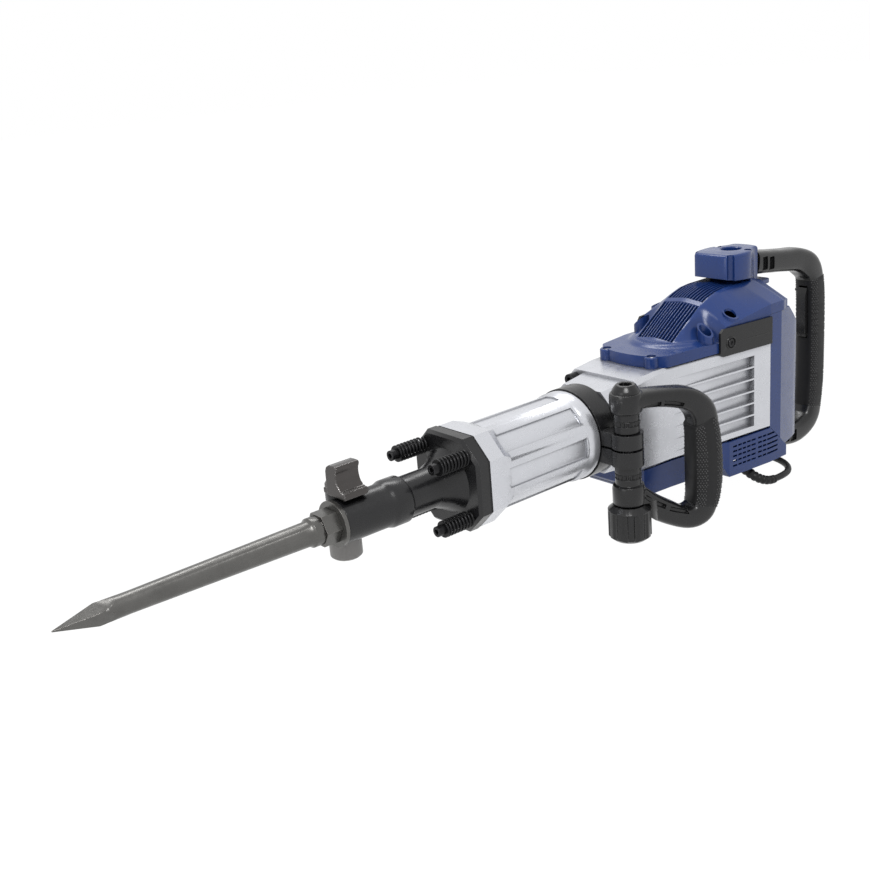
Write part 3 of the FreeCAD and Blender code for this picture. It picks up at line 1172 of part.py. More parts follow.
def cord_tube():
    """Straight runs joined by tangent arcs, each as large as its two runs allow."""
    edges = []
    start = CORD_ROUTE[0]
    length = 0.0
    for before, corner, after in zip(CORD_ROUTE, CORD_ROUTE[1:], CORD_ROUTE[2:]):
        come = (corner - before).normalize()
        leave = (after - corner).normalize()
        half_turn = come.getAngle(leave) / 2
        trim = 0.45 * min((corner - before).Length, (after - corner).Length)
        radius = trim / math.tan(half_turn)
        print("cord bend radius", round(radius, 1), "turn", round(math.degrees(2 * half_turn), 1))
        first, last = corner - come * trim, corner + leave * trim
        inward = (leave - come).normalize()
        middle = corner + inward * (radius / math.cos(half_turn) - radius)
        edges.append(Part.LineSegment(start, first).toShape())
        edges.append(Part.Arc(first, middle, last).toShape())
        start = last
    edges.append(Part.LineSegment(start, CORD_ROUTE[-1]).toShape())
    path = Part.Wire(edges)
    way = CORD_ROUTE[1] - CORD_ROUTE[0]
    section = Part.Wire(Part.Circle(CORD_ROUTE[0], way, CORD_R).toShape())
    tube = path.makePipeShell([section], True, True)
    length = path.Length
    print("cord tube length", round(length, 1))
    return tube.cut(cord_coil())


def cord_coil():
    low = FLOOR_Z
    high = FLOOR_Z + 2 * COIL_LAYERS * CORD_R
    c = COIL_CENTRE
    inner, outer = COIL_R
    cut = 3.0
    outline = [(low, outer - cut), (low + cut, outer), (high - cut, outer), (high, outer - cut)]
    ring = turned_upright(outline, c.x, c.y)
    return ring.cut(upright(inner, c.x, c.y, low - 1, high + 1))


def mains_plug():
    y = COIL_CENTRE.y + COIL_R[1] - CORD_R
    z = FLOOR_Z + PLUG_R
    neck, shoulder, face = PLUG_X
    wires = []
    for x, radius in ((neck, 5.0), (shoulder, 7.0), (shoulder - 6, PLUG_R - 2), (shoulder - 9, PLUG_R),
                      (face, PLUG_R)):
        wires.append(Part.Wire(Part.Circle(V(x, y, z), AXIS_X, radius).toShape()))
    body = Part.makeLoft(wires, True, True)
    places = [y - PLUG_PIN_PITCH / 2, y + PLUG_PIN_PITCH / 2]
    pins = [rod(2.4, V(face + 1, side, z), V(face - PLUG_PIN_LEN, side, z)) for side in places]
    return joined([body] + pins).cut(cord_coil())


# ---------------------------------------------------------------- all the pieces
NODES = {
    "chisel": chisel,
    "nose_housing": nose_housing,
    "tool_sleeve": tool_sleeve,
    "retainer_shaft": retainer_shaft,
    "retainer_lever": retainer_lever,
    "retainer_cap": retainer_cap,
    "damper_bolts": damper_bolts,
    "damper_washers": damper_washers,
    "damper_springs": damper_springs,
    "nose_buffer": nose_buffer,
    "barrel": barrel,
    "anvil": anvil,
    "anvil_bushing": anvil_bushing,
    "cylinder_liner": cylinder_liner,
    "ram": ram,
    "piston": piston,
    "wrist_pin": lambda: upright(WRIST_PIN_R, WRIST_PIN_X, 0, -BORE_R + 2, BORE_R - 2),
    "connecting_rod": connecting_rod,
    "crank_pin": crank_pin,
    "crankshaft": crankshaft,
    "crank_bearings": crank_bearings,
    "crank_gear": crank_gear,
    "intermediate_gear": intermediate_gear,
    "motor_shaft": motor_shaft,
    "shaft_bearings": shaft_bearings,
    "armature_core": armature_core,
    "commutator": commutator,
    "cooling_fan": cooling_fan,
    "field_core": field_core,
    "field_coils": field_coils,
    "carbon_brushes": carbon_brushes,
    "brush_holders": brush_holders,
    "crank_case": crank_case,
    "case_bolts": case_bolts,
    "gear_cover": gear_cover,
    "gear_cover_screws": gear_cover_screws,
    "motor_cover": motor_cover,
    "motor_cover_screws": motor_cover_screws,
    "rear_cover": rear_cover,
    "rear_cover_screws": rear_cover_screws,
    "side_plate_left": lambda: mirrored(side_plate()),
    "side_plate_right": side_plate,
    "side_plate_screws": side_plate_screws,
    "handle_bracket": handle_bracket,
    "bracket_screws": bracket_screws,
    "handle_bolt": handle_bolt,
    "rear_handle": rear_handle,
    "rear_handle_grip": rear_handle_grip,
    "trigger": trigger,
    "switch_block": switch_block,
    "clamp_band": clamp_band,
    "side_handle": side_handle,
    "side_handle_grip": side_handle_grip,
    "side_handle_bolt": side_handle_bolt,
    "side_handle_nut": side_handle_nut,
    "side_handle_knob": side_handle_knob,
    "cord_boot": cord_boot,
    "mains_cord": cord_tube,
    "mains_cord_coil": cord_coil,
    "mains_plug": mains_plug,
}

for node, make in NODES.items():
    shape = make()
    if not shape.isValid():
        print("not valid:", node)
    if shape.Volume < 0:
        shape.reverse()
    save(node, shape)
print(len(NODES), "nodes")
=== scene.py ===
import json
import math

import bmesh
import bpy
from mathutils import Matrix, Vector


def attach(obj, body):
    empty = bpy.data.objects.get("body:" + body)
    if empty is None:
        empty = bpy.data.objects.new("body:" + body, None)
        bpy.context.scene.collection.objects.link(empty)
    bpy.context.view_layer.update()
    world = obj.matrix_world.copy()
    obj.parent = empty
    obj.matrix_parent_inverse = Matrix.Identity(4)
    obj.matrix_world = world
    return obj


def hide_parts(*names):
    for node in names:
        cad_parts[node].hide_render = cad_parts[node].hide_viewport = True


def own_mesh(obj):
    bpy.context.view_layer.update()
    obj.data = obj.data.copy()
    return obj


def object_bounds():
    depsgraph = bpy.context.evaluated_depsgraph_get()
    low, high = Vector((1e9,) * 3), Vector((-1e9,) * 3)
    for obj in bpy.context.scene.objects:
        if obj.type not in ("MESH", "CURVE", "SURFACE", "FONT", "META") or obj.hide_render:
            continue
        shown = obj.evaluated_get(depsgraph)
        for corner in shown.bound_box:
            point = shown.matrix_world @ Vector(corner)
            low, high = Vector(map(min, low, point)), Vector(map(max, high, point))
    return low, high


# Electric demolition hammer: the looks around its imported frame. The frame's own axes: +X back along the
# tool axis, +Z up, the side handle on the -Y side.

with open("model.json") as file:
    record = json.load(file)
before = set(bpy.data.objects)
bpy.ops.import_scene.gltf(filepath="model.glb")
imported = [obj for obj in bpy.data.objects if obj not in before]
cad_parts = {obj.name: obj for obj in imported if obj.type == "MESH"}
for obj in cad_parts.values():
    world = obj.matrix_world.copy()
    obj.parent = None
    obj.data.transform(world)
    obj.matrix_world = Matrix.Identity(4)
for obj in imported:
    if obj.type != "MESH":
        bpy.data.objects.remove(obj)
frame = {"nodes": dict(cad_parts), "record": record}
cad_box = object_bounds()
record = frame["record"]
BODY_OF = {node: body for body, nodes in record["behaviour"]["bodies"].items() for node in nodes}
SLOT_OF = {part["node"]: part["material_slot"] for part in record["subparts"]}
MM = 0.001
FLOOR_Z = cad_box[0][2]


# ---------------------------------------------------------------- node helpers
def node(tree, kind, **inputs):
    """A node whose inputs, named with _ for a space, take constants or other nodes' outputs."""
    made = tree.nodes.new(kind)
    for key, value in inputs.items():
        socket = made.inputs[key.replace("_", " ")]
        if isinstance(value, bpy.types.NodeSocket):
            tree.links.new(value, socket)
        else:
            socket.default_value = value
    return made


def maths(tree, operation, a, b):
    made = tree.nodes.new("ShaderNodeMath")
    made.operation = operation
    for socket, value in zip(made.inputs, (a, b)):
        if isinstance(value, bpy.types.NodeSocket):
            tree.links.new(value, socket)
        else:
            socket.default_value = value
    return made.outputs[0]


def mixed(tree, share, a, b):
    """Colour a giving way to colour b."""
    made = tree.nodes.new("ShaderNodeMix")
    made.data_type = "RGBA"
    tree.links.new(share, made.inputs["Factor"])
    if isinstance(a, bpy.types.NodeSocket):
        tree.links.new(a, made.inputs["A"])
    else:
        made.inputs["A"].default_value = a
    made.inputs["B"].default_value = b
    return made.outputs["Result"]


def ranged(tree, value, low, high, to_low=0.0, to_high=1.0):
    made = node(tree, "ShaderNodeMapRange", Value=value, From_Min=low, From_Max=high, To_Min=to_low,
                To_Max=to_high)
    return made.outputs["Result"]


# ---------------------------------------------------------------- finishes
PAINTED_SHADE_REACH = 0.016       # how far into a hollow the painted shade reaches
EDGE_BAND_SPREAD = 2.2         # the band of rubbed edges, on the lever steel also a painted rim highlight, against rounded edges
# How dark the painted shade in hollows and seams gets, as a share of the colour.
PAINTED_SHADE_TONE = 0.22


def scaled(colour, factor):
    return (*[min(1, c * factor) for c in colour], 1)


def finish(name, colour, rough, metal=0.0, vary=0.12, grain=900.0, grain_depth=0.02, cloud=28.0,
           rough_vary=0.08, wear_and_rim_highlight=None, wear_and_rim_highlight_amount=0.5, edge=0.0006, specular=0.5, painted_shade=0.0,
           soft_edges=True):
    """A surface with cloudy colour, fine grain, uneven gloss and, if asked, rubbed edges (on the lever steel
    also a painted rim highlight) and painted shade in hollows.
    """
    material = bpy.data.materials.new(name)
    material.use_nodes = True
    tree = material.node_tree
    tree.nodes.clear()
    place = tree.nodes.new("ShaderNodeTexCoord").outputs["Object"]

    def noise(scale, detail, roughness):
        return node(tree, "ShaderNodeTexNoise", Vector=place, Scale=scale, Detail=detail,
                    Roughness=roughness).outputs["Fac"]

    def rounded_normal(radius):
        made = node(tree, "ShaderNodeBevel", Radius=radius)
        made.samples = 4
        return made.outputs["Normal"]

    shade = mixed(tree, noise(cloud, 4.0, 0.6), scaled(colour, 1 - vary), scaled(colour, 1 + vary))
    # Rubbed edges turn lighter; on the lever steel they are also a painted rim highlight.
    if wear_and_rim_highlight is not None:
        match = tree.nodes.new("ShaderNodeVectorMath")
        match.operation = "DOT_PRODUCT"
        tree.links.new(rounded_normal(edge * EDGE_BAND_SPREAD), match.inputs[0])
        tree.links.new(tree.nodes.new("ShaderNodeNewGeometry").outputs["Normal"], match.inputs[1])
        edge_band = ranged(tree, match.outputs["Value"], 0.95, 0.78)
        spots = ranged(tree, noise(cloud * 7, 5.0, 0.7), 0.42, 0.62, 0.0, wear_and_rim_highlight_amount)
        shade = mixed(tree, maths(tree, "MULTIPLY", edge_band, spots), shade, (*wear_and_rim_highlight, 1))
    # Painted shade: the colour darkens in hollows, wells and seams, where shade falls.
    if painted_shade:
        hollow = node(tree, "ShaderNodeAmbientOcclusion", Distance=PAINTED_SHADE_REACH)
        hollow.samples = 6
        depth = ranged(tree, hollow.outputs["AO"], 0.25, 0.92, painted_shade, 0.0)
        shade = mixed(tree, depth, shade, scaled(colour, PAINTED_SHADE_TONE))
    gloss = ranged(tree, noise(cloud * 3.1, 5.0, 0.65), 0.3, 0.7,
                   max(0.04, rough - rough_vary), min(1.0, rough + rough_vary))
    bump = node(tree, "ShaderNodeBump", Height=noise(grain, 3.0, 0.6), Strength=0.6,
                Distance=grain_depth * MM * 4)
    if soft_edges:
        tree.links.new(rounded_normal(edge), bump.inputs["Normal"])
    shader = node(tree, "ShaderNodeBsdfPrincipled", Base_Color=shade, Metallic=metal, Roughness=gloss,
                  Specular_IOR_Level=specular, Normal=bump.outputs["Normal"])
    node(tree, "ShaderNodeOutputMaterial", Surface=shader.outputs["BSDF"])
    return material


# A look's shade amount darkens its hollows and seams with painted shade.
LOOKS = {
    "silver_paint": dict(colour=(0.59, 0.60, 0.635), rough=0.29, metal=0.74, vary=0.05, grain=1500,
                         grain_depth=0.004, rough_vary=0.05, painted_shade=0.85, wear_and_rim_highlight=(0.86, 0.86, 0.88),
                         soft_edges=False),
    "dark_steel": dict(colour=(0.122, 0.12, 0.115), rough=0.31, metal=0.85, vary=0.25, grain=700,
                       grain_depth=0.03, cloud=45, wear_and_rim_highlight=(0.34, 0.32, 0.30), wear_and_rim_highlight_amount=0.8),
    "bright_steel": dict(colour=(0.60, 0.60, 0.62), rough=0.26, metal=0.95, vary=0.06, grain=1800,
                         grain_depth=0.008),
    # The lever steel's light edges are worn steel and also a painted rim highlight.
    "lever_steel": dict(colour=(0.075, 0.07, 0.068), rough=0.24, metal=0.95, vary=0.15, grain=900,
                        grain_depth=0.012, wear_and_rim_highlight=(0.75, 0.74, 0.73), wear_and_rim_highlight_amount=1.0, edge=0.0008),
    "black_casting": dict(colour=(0.0105, 0.0105, 0.0115), rough=0.27, vary=0.3, grain=420,
                          grain_depth=0.03, specular=0.4, painted_shade=0.5, wear_and_rim_highlight=(0.05, 0.05, 0.055)),
    "black_screw": dict(colour=(0.012, 0.012, 0.013), rough=0.34, metal=0.5, vary=0.25, specular=0.3,
                        wear_and_rim_highlight=(0.14, 0.14, 0.15), wear_and_rim_highlight_amount=0.7),
    "grey_casting": dict(colour=(0.19, 0.185, 0.18), rough=0.42, metal=0.35, vary=0.12, grain=800,
                         grain_depth=0.03, wear_and_rim_highlight=(0.4, 0.39, 0.38), wear_and_rim_highlight_amount=0.6),
    "blue_plastic": dict(colour=(0.011, 0.036, 0.158), rough=0.25, vary=0.07, grain=1300,
                         grain_depth=0.003, specular=0.42, rough_vary=0.05, painted_shade=0.6,
                         wear_and_rim_highlight=(0.06, 0.12, 0.33), wear_and_rim_highlight_amount=0.35, soft_edges=False),
    "black_plastic": dict(colour=(0.0095, 0.0095, 0.0102), rough=0.26, vary=0.2, grain=1100,
                          grain_depth=0.006, specular=0.4, painted_shade=0.5, wear_and_rim_highlight=(0.04, 0.04, 0.042),
                          wear_and_rim_highlight_amount=0.4),
    "black_rubber": dict(colour=(0.0105, 0.0105, 0.0112), rough=0.48, vary=0.2, grain=1500,
                         grain_depth=0.012, specular=0.25),
    "grip_dots": dict(colour=(0.03, 0.03, 0.031), rough=0.3, vary=0.2, grain=1500, grain_depth=0.004,
                      specular=0.6, soft_edges=False),
    "copper_winding": dict(colour=(0.45, 0.17, 0.06), rough=0.35, metal=0.8, vary=0.2),
    "core_steel": dict(colour=(0.18, 0.18, 0.19), rough=0.5, metal=0.7, vary=0.15),
    "brass_part": dict(colour=(0.55, 0.38, 0.13), rough=0.32, metal=0.9, vary=0.1),
    "carbon": dict(colour=(0.02, 0.02, 0.022), rough=0.7, vary=0.2),
    "white_plastic": dict(colour=(0.62, 0.62, 0.58), rough=0.45, vary=0.05),
}
FINISHES = {name: finish(name, **look) for name, look in LOOKS.items()}


# ---------------------------------------------------------------- mesh helpers
def put(name, data):
    made = bpy.data.objects.new(name, data)
    bpy.context.scene.collection.objects.link(made)
    return made


def repaint(made, look):
    made.data.materials.clear()
    made.data.materials.append(FINISHES[look])


def piece(name, mesh, nodes=(), body=None, slot=None, smooth=32.0):
    """A finished piece that rides on its body, stands for its frame nodes and takes their finish."""
    nodes = [nodes] if isinstance(nodes, str) else list(nodes)
    body = body or BODY_OF[nodes[0]]
    slot = slot or SLOT_OF[nodes[0]]
    made = put(name, mesh)
    repaint(made, slot)
    mesh.polygons.foreach_set("use_smooth", [True] * len(mesh.polygons))
    mesh.polygons.foreach_set("material_index", [0] * len(mesh.polygons))
    mesh.set_sharp_from_angle(angle=math.radians(smooth))
    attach(made, body)
    if nodes:
        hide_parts(*nodes)
    return made


def rounded(made, width, angle, segments=2, harden=True):
    """Rounds a piece's edges that are sharper than an angle."""
    bevel = made.modifiers.new("rounded edges", "BEVEL")
    bevel.width = width * MM
    bevel.segments = segments
    bevel.limit_method = "ANGLE"
    bevel.angle_limit = math.radians(angle)
    bevel.harden_normals = harden


def mesh_of(name, bm, merge=True):
    if merge:
        bmesh.ops.remove_doubles(bm, verts=bm.verts, dist=1e-6)
    mesh = bpy.data.meshes.new(name)
    bm.to_mesh(mesh)
    bm.free()
    return mesh


def merged(node_name):
    """A closed copy of a frame node's mesh, with its flat faces made whole."""
    bm = bmesh.new()
    bm.from_mesh(frame["nodes"][node_name].data)
    bmesh.ops.remove_doubles(bm, verts=bm.verts, dist=2e-5)
    bmesh.ops.dissolve_degenerate(bm, edges=bm.edges, dist=1e-5)
    bmesh.ops.dissolve_limit(bm, angle_limit=math.radians(0.8), verts=bm.verts, edges=bm.edges)
    return bm


def eased(node_name, width):
    """The frame's shape with every sharp edge rounded, as a casting or a moulding comes out."""
    angle = 34.0
    made = piece(node_name + "_eased", mesh_of(node_name, merged(node_name)), node_name, smooth=angle)
    rounded(made, width, angle)
    return made


def add_rings(bm, rings, close_ends=True):
    """Faces between rings of points that all have the same number of corners."""
    made = [[bm.verts.new(p) for p in ring] for ring in rings]
    count = len(made[0])
    for a, b in zip(made, made[1:]):
        for i in range(count):
            bm.faces.new((a[i], a[(i + 1) % count], b[(i + 1) % count], b[i]))
    if close_ends:
        bm.faces.new(list(reversed(made[0])))
        bm.faces.new(made[-1])


def outward(bm):
    bmesh.ops.remove_doubles(bm, verts=bm.verts, dist=1e-6)
    bmesh.ops.recalc_face_normals(bm, faces=bm.faces)


def solid_of(name, *ring_sets):
    """A mesh of closed solids, each through its own set of rings."""
    bm = bmesh.new()
    for rings in ring_sets:
        add_rings(bm, rings)
    outward(bm)
    return mesh_of(name, bm)


def lathe(bm, profile, centre, axis="Z", count=48):
    """Turns (height, radius) points, in millimetres, about an axis through centre."""
    rings = []
    for height, radius in profile:
        ring = []
        for i in range(count):
            a = 2 * math.pi * i / count
            c, s = radius * math.cos(a), radius * math.sin(a)
            x, y, z = centre
            if axis == "Z":
                ring.append(Vector((x + c, y + s, height)) * MM)
            else:
                ring.append(Vector((height, y + c, z + s)) * MM)
        rings.append(ring)
    if axis == "X":
        rings = [list(reversed(r)) for r in rings]
    add_rings(bm, rings)


def posts(name, rows, count=32):
    """Upright turned solids, each at its own place."""
    bm = bmesh.new()
    for x, y, profile in rows:
        lathe(bm, profile, (x, y, 0), "Z", count)
    outward(bm)
    return mesh_of(name, bm)


def box_at(bm, x, y, z):
    corners = [bm.verts.new(Vector((a, b, c)) * MM) for a in x for b in y for c in z]
    for quad in ((0, 1, 3, 2), (4, 6, 7, 5), (0, 4, 5, 1), (2, 3, 7, 6), (0, 2, 6, 4), (1, 5, 7, 3)):
        bm.faces.new([corners[i] for i in quad])


def boxes_mesh(name, boxes):
    bm = bmesh.new()
    for x, y, z in boxes:
        box_at(bm, x, y, z)
    bmesh.ops.recalc_face_normals(bm, faces=bm.faces)
    return mesh_of(name, bm, merge=False)


def applied(made, name):
    """The plain mesh of an object with its modifiers carried out."""
    bpy.context.view_layer.update()
    mesh = bpy.data.meshes.new_from_object(made.evaluated_get(bpy.context.evaluated_depsgraph_get()))
    mesh.name = name
    bpy.data.objects.remove(made)
    return mesh


def carved(mesh, cutter, how="DIFFERENCE"):
    """A mesh with another closed mesh taken out of it, or joined to it."""
    block, tool = put("carving", mesh), put("cutter", cutter)
    boolean = block.modifiers.new("carve", "BOOLEAN")
    boolean.operation = how
    boolean.solver = "EXACT"
    boolean.object = tool
    made = applied(block, mesh.name)
    bpy.data.objects.remove(tool)
    return made


# ---------------------------------------------------------------- curves and limbs
def smooth_share(t):
    return t * t * (3 - 2 * t)


def table_at(table, x, soft=False):
    """The value at x in a table of (place, value) rows, straight or eased between the rows."""
    for (x0, a), (x1, b) in zip(table, table[1:]):
        if x <= x1:
            share = max(0.0, (x - x0) / (x1 - x0))
            return a + (b - a) * (smooth_share(share) if soft else share)
    return table[-1][1]


def eased_step(low, high, x):
    return smooth_share(max(0.0, min(1.0, (x - low) / (high - low))))


def between(stations, steps):
    """Catmull-Rom points between stations of numbers."""
    rows = []
    last = len(stations) - 1
    for i in range(last):
        a, b, c, d = (stations[max(0, min(last, i + k))] for k in (-1, 0, 1, 2))
        for j in range(steps):
            t = j / steps
            rows.append([0.5 * (2 * q + (r - p) * t + (2 * p - 5 * q + 4 * r - s) * t * t
                                + (3 * q - p - 3 * r + s) * t ** 3) for p, q, r, s in zip(a, b, c, d)])
    rows.append(list(stations[-1]))
    return rows


def section_point(station, angle, power, grow=0.0):
    """Where a rounded-square limb section's surface lies, in the limb's own plane and across it.

    A station is the limb's centre (along, up), its heading in degrees and its two half widths.
    """
    u, z, heading, width, thick = station
    c, s = math.cos(angle), math.sin(angle)
    w = (width + grow) * math.copysign(abs(c) ** (2 / power), c)
    t = (thick + grow) * math.copysign(abs(s) ** (2 / power), s)
    a = math.radians(heading)
    return u - w * math.sin(a), z + w * math.cos(a), t


def limb_rings(stations, place, steps=5, count=28, power=3.4, grow=0.0):
    rings = []
    for station in between(stations, steps):
        ring = []
        for i in range(count):
            ring.append(place(*section_point(station, 2 * math.pi * i / count, power, grow)) * MM)
        rings.append(ring)
    return rings


# ---------------------------------------------------------------- camera, floor and lamps
def aim_camera():
    data = bpy.data.cameras.new("camera")
    data.lens = 48.69
    data.sensor_width = 36.0
    data.sensor_fit = "AUTO"
    data.clip_start = 0.05
    data.clip_end = 50
    camera = put("camera", data)
    right = Vector((0.76503721, -0.63855603, -0.08345217))
    up = Vector((0.26912358, 0.19928675, 0.94226179))
    back = Vector((-0.58505604, -0.74332428, 0.32431226))
    turn = Matrix((right, up, back)).transposed().to_4x4()
    camera.matrix_world = Matrix.Translation((-0.550579, -0.864686, 0.425540)) @ turn
    bpy.context.scene.camera = camera


def seen_directly(tree):
    """1 where the eye, a reflection or a clear part looks straight at the surface."""
    ray = tree.nodes.new("ShaderNodeLightPath")
    total = ray.outputs["Is Camera Ray"]
    for extra in ("Is Glossy Ray", "Is Transmission Ray"):
        total = maths(tree, "MAXIMUM", total, ray.outputs[extra])
    return total


def lay_floor():
    reach, gap, glow_share = 9, 0.0006, 0.93
    bm = bmesh.new()
    bm.faces.new([bm.verts.new((x * reach, y * reach, FLOOR_Z - gap))
                  for x, y in ((-1, -1), (1, -1), (1, 1), (-1, 1))])
    floor = put("floor", mesh_of("floor", bm))
    material = bpy.data.materials.new("pale_floor")
    material.use_nodes = True
    tree = material.node_tree
    tree.nodes.clear()
    matt = node(tree, "ShaderNodeBsdfDiffuse", Color=(0.8, 0.8, 0.8, 1))
    glow = node(tree, "ShaderNodeEmission", Color=(1, 1, 1, 1), Strength=1.07)
    mix = tree.nodes.new("ShaderNodeMixShader")
    tree.links.new(maths(tree, "MULTIPLY", seen_directly(tree), glow_share), mix.inputs[0])
    tree.links.new(matt.outputs[0], mix.inputs[1])
    tree.links.new(glow.outputs[0], mix.inputs[2])
    node(tree, "ShaderNodeOutputMaterial", Surface=mix.outputs[0])
    floor.data.materials.append(material)


def hang_lamp(name, place, target, size, power):
    data = bpy.data.lights.new(name, "AREA")
    data.shape = "RECTANGLE"
    data.size, data.size_y = size
    data.energy = power
    lamp = put(name, data)
    lamp.location = place
    way = Vector(target) - Vector(place)
    lamp.rotation_euler = way.to_track_quat("-Z", "Y").to_euler()


def light_the_room():
    world = bpy.data.worlds.new("studio")
    world.use_nodes = True
    tree = world.node_tree
    tree.nodes.clear()
    level = ranged(tree, seen_directly(tree), 0.0, 1.0, 0.38, 1.0)
    back = node(tree, "ShaderNodeBackground", Color=(1, 1, 1, 1), Strength=level)
    node(tree, "ShaderNodeOutputWorld", Surface=back.outputs[0])
    bpy.context.scene.world = world
    middle = (0.3, 0.0, 0.0)
    hang_lamp("key", (-0.7, -1.2, 1.9), middle, (1.0, 0.8), 38)
    hang_lamp("fill", (-1.9, -0.3, 0.6), middle, (0.9, 0.9), 7)
    hang_lamp("top", (0.7, 0.9, 1.8), middle, (1.4, 0.5), 17)
    bpy.context.scene.view_settings.view_transform = "Standard"


aim_camera()
lay_floor()
light_the_room()


# ---------------------------------------------------------------- mains cord
CORD_R = 4.0
CORD_ROUTE = [(590, -70, -120.8), (614, -70.4, -122), (636, -60, -122), (650, -39, -122),
              (654.5, -13, -122), (653, 14, -122), (655, 42, -122), (653.6, 70, -122),
              (654.4, 96, -122), (654.4, 118, -122), (654.0, 136, -122)]
CORD_END = [(589, 204.9, -107.4), (580, 204.6, -107.7), (574, 204.5, -107.7)]
COIL_CENTRE = (600.0, 150.0)
COIL_RADIUS = [(0, 54.5), (2.2, 36.0), (4.45, 54.5), (5.0, 46.0), (6.25, 36.0), (8.1, 54.5), (8.26, 54.5)]
COIL_HEIGHT = [(0, -122), (2.04, -122), (2.36, -114), (4.29, -114), (4.61, -106), (6.09, -106),
               (6.41, -98), (7.9, -98), (8.24, -106.6), (8.26, -106.6)]
COIL_TURNS = 8.25
POINTS_PER_TURN = 16
CONTROL_OUT = 0.9         # the smooth line runs about this far inside its control points


def coil_points():
    points = []
    count = int(COIL_TURNS * POINTS_PER_TURN)
    for i in range(count + 1):
        turn = i / POINTS_PER_TURN
        angle = 2 * math.pi * turn
        radius = table_at(COIL_RADIUS, turn) + CONTROL_OUT
        points.append((COIL_CENTRE[0] + radius * math.cos(angle), COIL_CENTRE[1] + radius * math.sin(angle),
                       table_at(COIL_HEIGHT, turn, soft=True)))
    return points


def mains_cord():
    route = CORD_ROUTE + coil_points() + CORD_END
    curve = bpy.data.curves.new("mains_lead", "CURVE")
    curve.dimensions = "3D"
    curve.bevel_depth = CORD_R * MM
    curve.bevel_resolution = 5
    curve.use_fill_caps = True
    spline = curve.splines.new("NURBS")
    spline.points.add(len(route) - 1)
    for point, place in zip(spline.points, route):
        point.co = (*[c * MM for c in place], 1)
    spline.order_u = 3
    spline.use_endpoint_u = True
    spline.resolution_u = 6
    lead = put("mains_lead", curve)
    curve.materials.append(FINISHES["black_rubber"])
    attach(lead, "housing")
    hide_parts("mains_cord", "mains_cord_coil")
    return lead


def strain_relief():
    """The ribbed tapered boot where the cord leaves the motor cover."""
    a, b, c = (Vector(p) for p in ((560, -38, -96), (560, -69.5, -119.3), (590, -70, -120.8)))
    steps, corners = 45, 24
    rings = []
    for i in range(steps + 1):
        t = i / steps
        centre = a * (1 - t) ** 2 + b * (2 * t * (1 - t)) + c * t ** 2
        way = ((b - a) * (1 - t) + (c - b) * t).normalized()
        side = way.cross(Vector((0, 0, 1))).normalized()
        up = side.cross(way)
        groove = 0.75 if i % 5 in (2, 3) and 8 < i < 43 else 0.0
        radius = 6.6 - 1.6 * t - groove
        rings.append([(centre + side * radius * math.cos(2 * math.pi * k / corners)
                       + up * radius * math.sin(2 * math.pi * k / corners)) * MM for k in range(corners)])
    piece("strain_relief", solid_of("strain_relief", rings), "cord_boot")


def plug():
    """A round two-pin plug with finger flutes, lying beside the coil."""
    y, z = 204.5, -107.7
    corners, flute_depth, pin_out = 60, 0.7, 9.5
    profile = [(584, 4.9), (581, 5.2), (579, 4.7), (576, 5.9), (574, 5.2), (571, 6.6), (569, 6.0),
               (566, 7.4), (562, 13.5), (559.5, 16.6), (557, 18.0), (554, 18.3), (545, 17.4), (537, 18.0),
               (534, 18.3), (532.6, 18.0), (532, 17.2), (532, 15.6), (532.6, 15.2)]
    rings = []
    for x, radius in profile:
        ring = []
        for k in range(corners):
            a = 2 * math.pi * k / corners
            r = radius - (flute_depth if 538 < x < 556 and k % 5 in (0, 1) else 0.0)
            ring.append(Vector((x, y + r * math.cos(a), z + r * math.sin(a))) * MM)
        rings.append(ring)
    body = piece("plug_body", solid_of("plug_body", rings), "mains_plug", smooth=40)
    bm = bmesh.new()
    for side in (-pin_out, pin_out):
        lathe(bm, [(532.6, 2.4), (516, 2.4), (514, 2.1), (513, 1.2)], (0, y + side, z), "X", 20)
    outward(bm)
    pins = piece("plug_pins", mesh_of("plug_pins", bm), (), "housing", "bright_steel")
    return [body, pins]


lead = mains_cord()
strain_relief()
plug_pieces = plug()


# ---------------------------------------------------------------- repeated shapes
def new_tree(name, inputs):
    """A geometry tree with named inputs, its nodes to be added between them and the result."""
    tree = bpy.data.node_groups.new(name, "GeometryNodeTree")
    tree.interface.new_socket(name="Geometry", in_out="INPUT", socket_type="NodeSocketGeometry")
    for label, kind, value in inputs + [("Finish", "NodeSocketMaterial", None)]:
        socket = tree.interface.new_socket(name=label, in_out="INPUT", socket_type=kind)
        if value is not None:
            socket.default_value = value
    tree.interface.new_socket(name="Geometry", in_out="OUTPUT", socket_type="NodeSocketGeometry")
    return tree, tree.nodes.new("NodeGroupInput").outputs


def close_tree(tree, given, points, instance, **turned):
    """Ends a tree: the instance on each point, made real and painted with the finish it is given."""
    spread = node(tree, "GeometryNodeInstanceOnPoints", Points=points, Instance=instance, **turned)
    real = node(tree, "GeometryNodeRealizeInstances", Geometry=spread.outputs["Instances"])
    paint = node(tree, "GeometryNodeSetMaterial", Geometry=real.outputs["Geometry"], Material=given["Finish"])
    node(tree, "NodeGroupOutput", Geometry=paint.outputs["Geometry"])
    return tree


def turned_to_facing(tree, axis):
    facing = node(tree, "GeometryNodeInputNamedAttribute", Name="facing")
    facing.data_type = "FLOAT_VECTOR"
    turn = tree.nodes.new("FunctionNodeAlignRotationToVector")
    turn.axis = axis
    tree.links.new(facing.outputs["Attribute"], turn.inputs["Vector"])
    return turn.outputs["Rotation"]


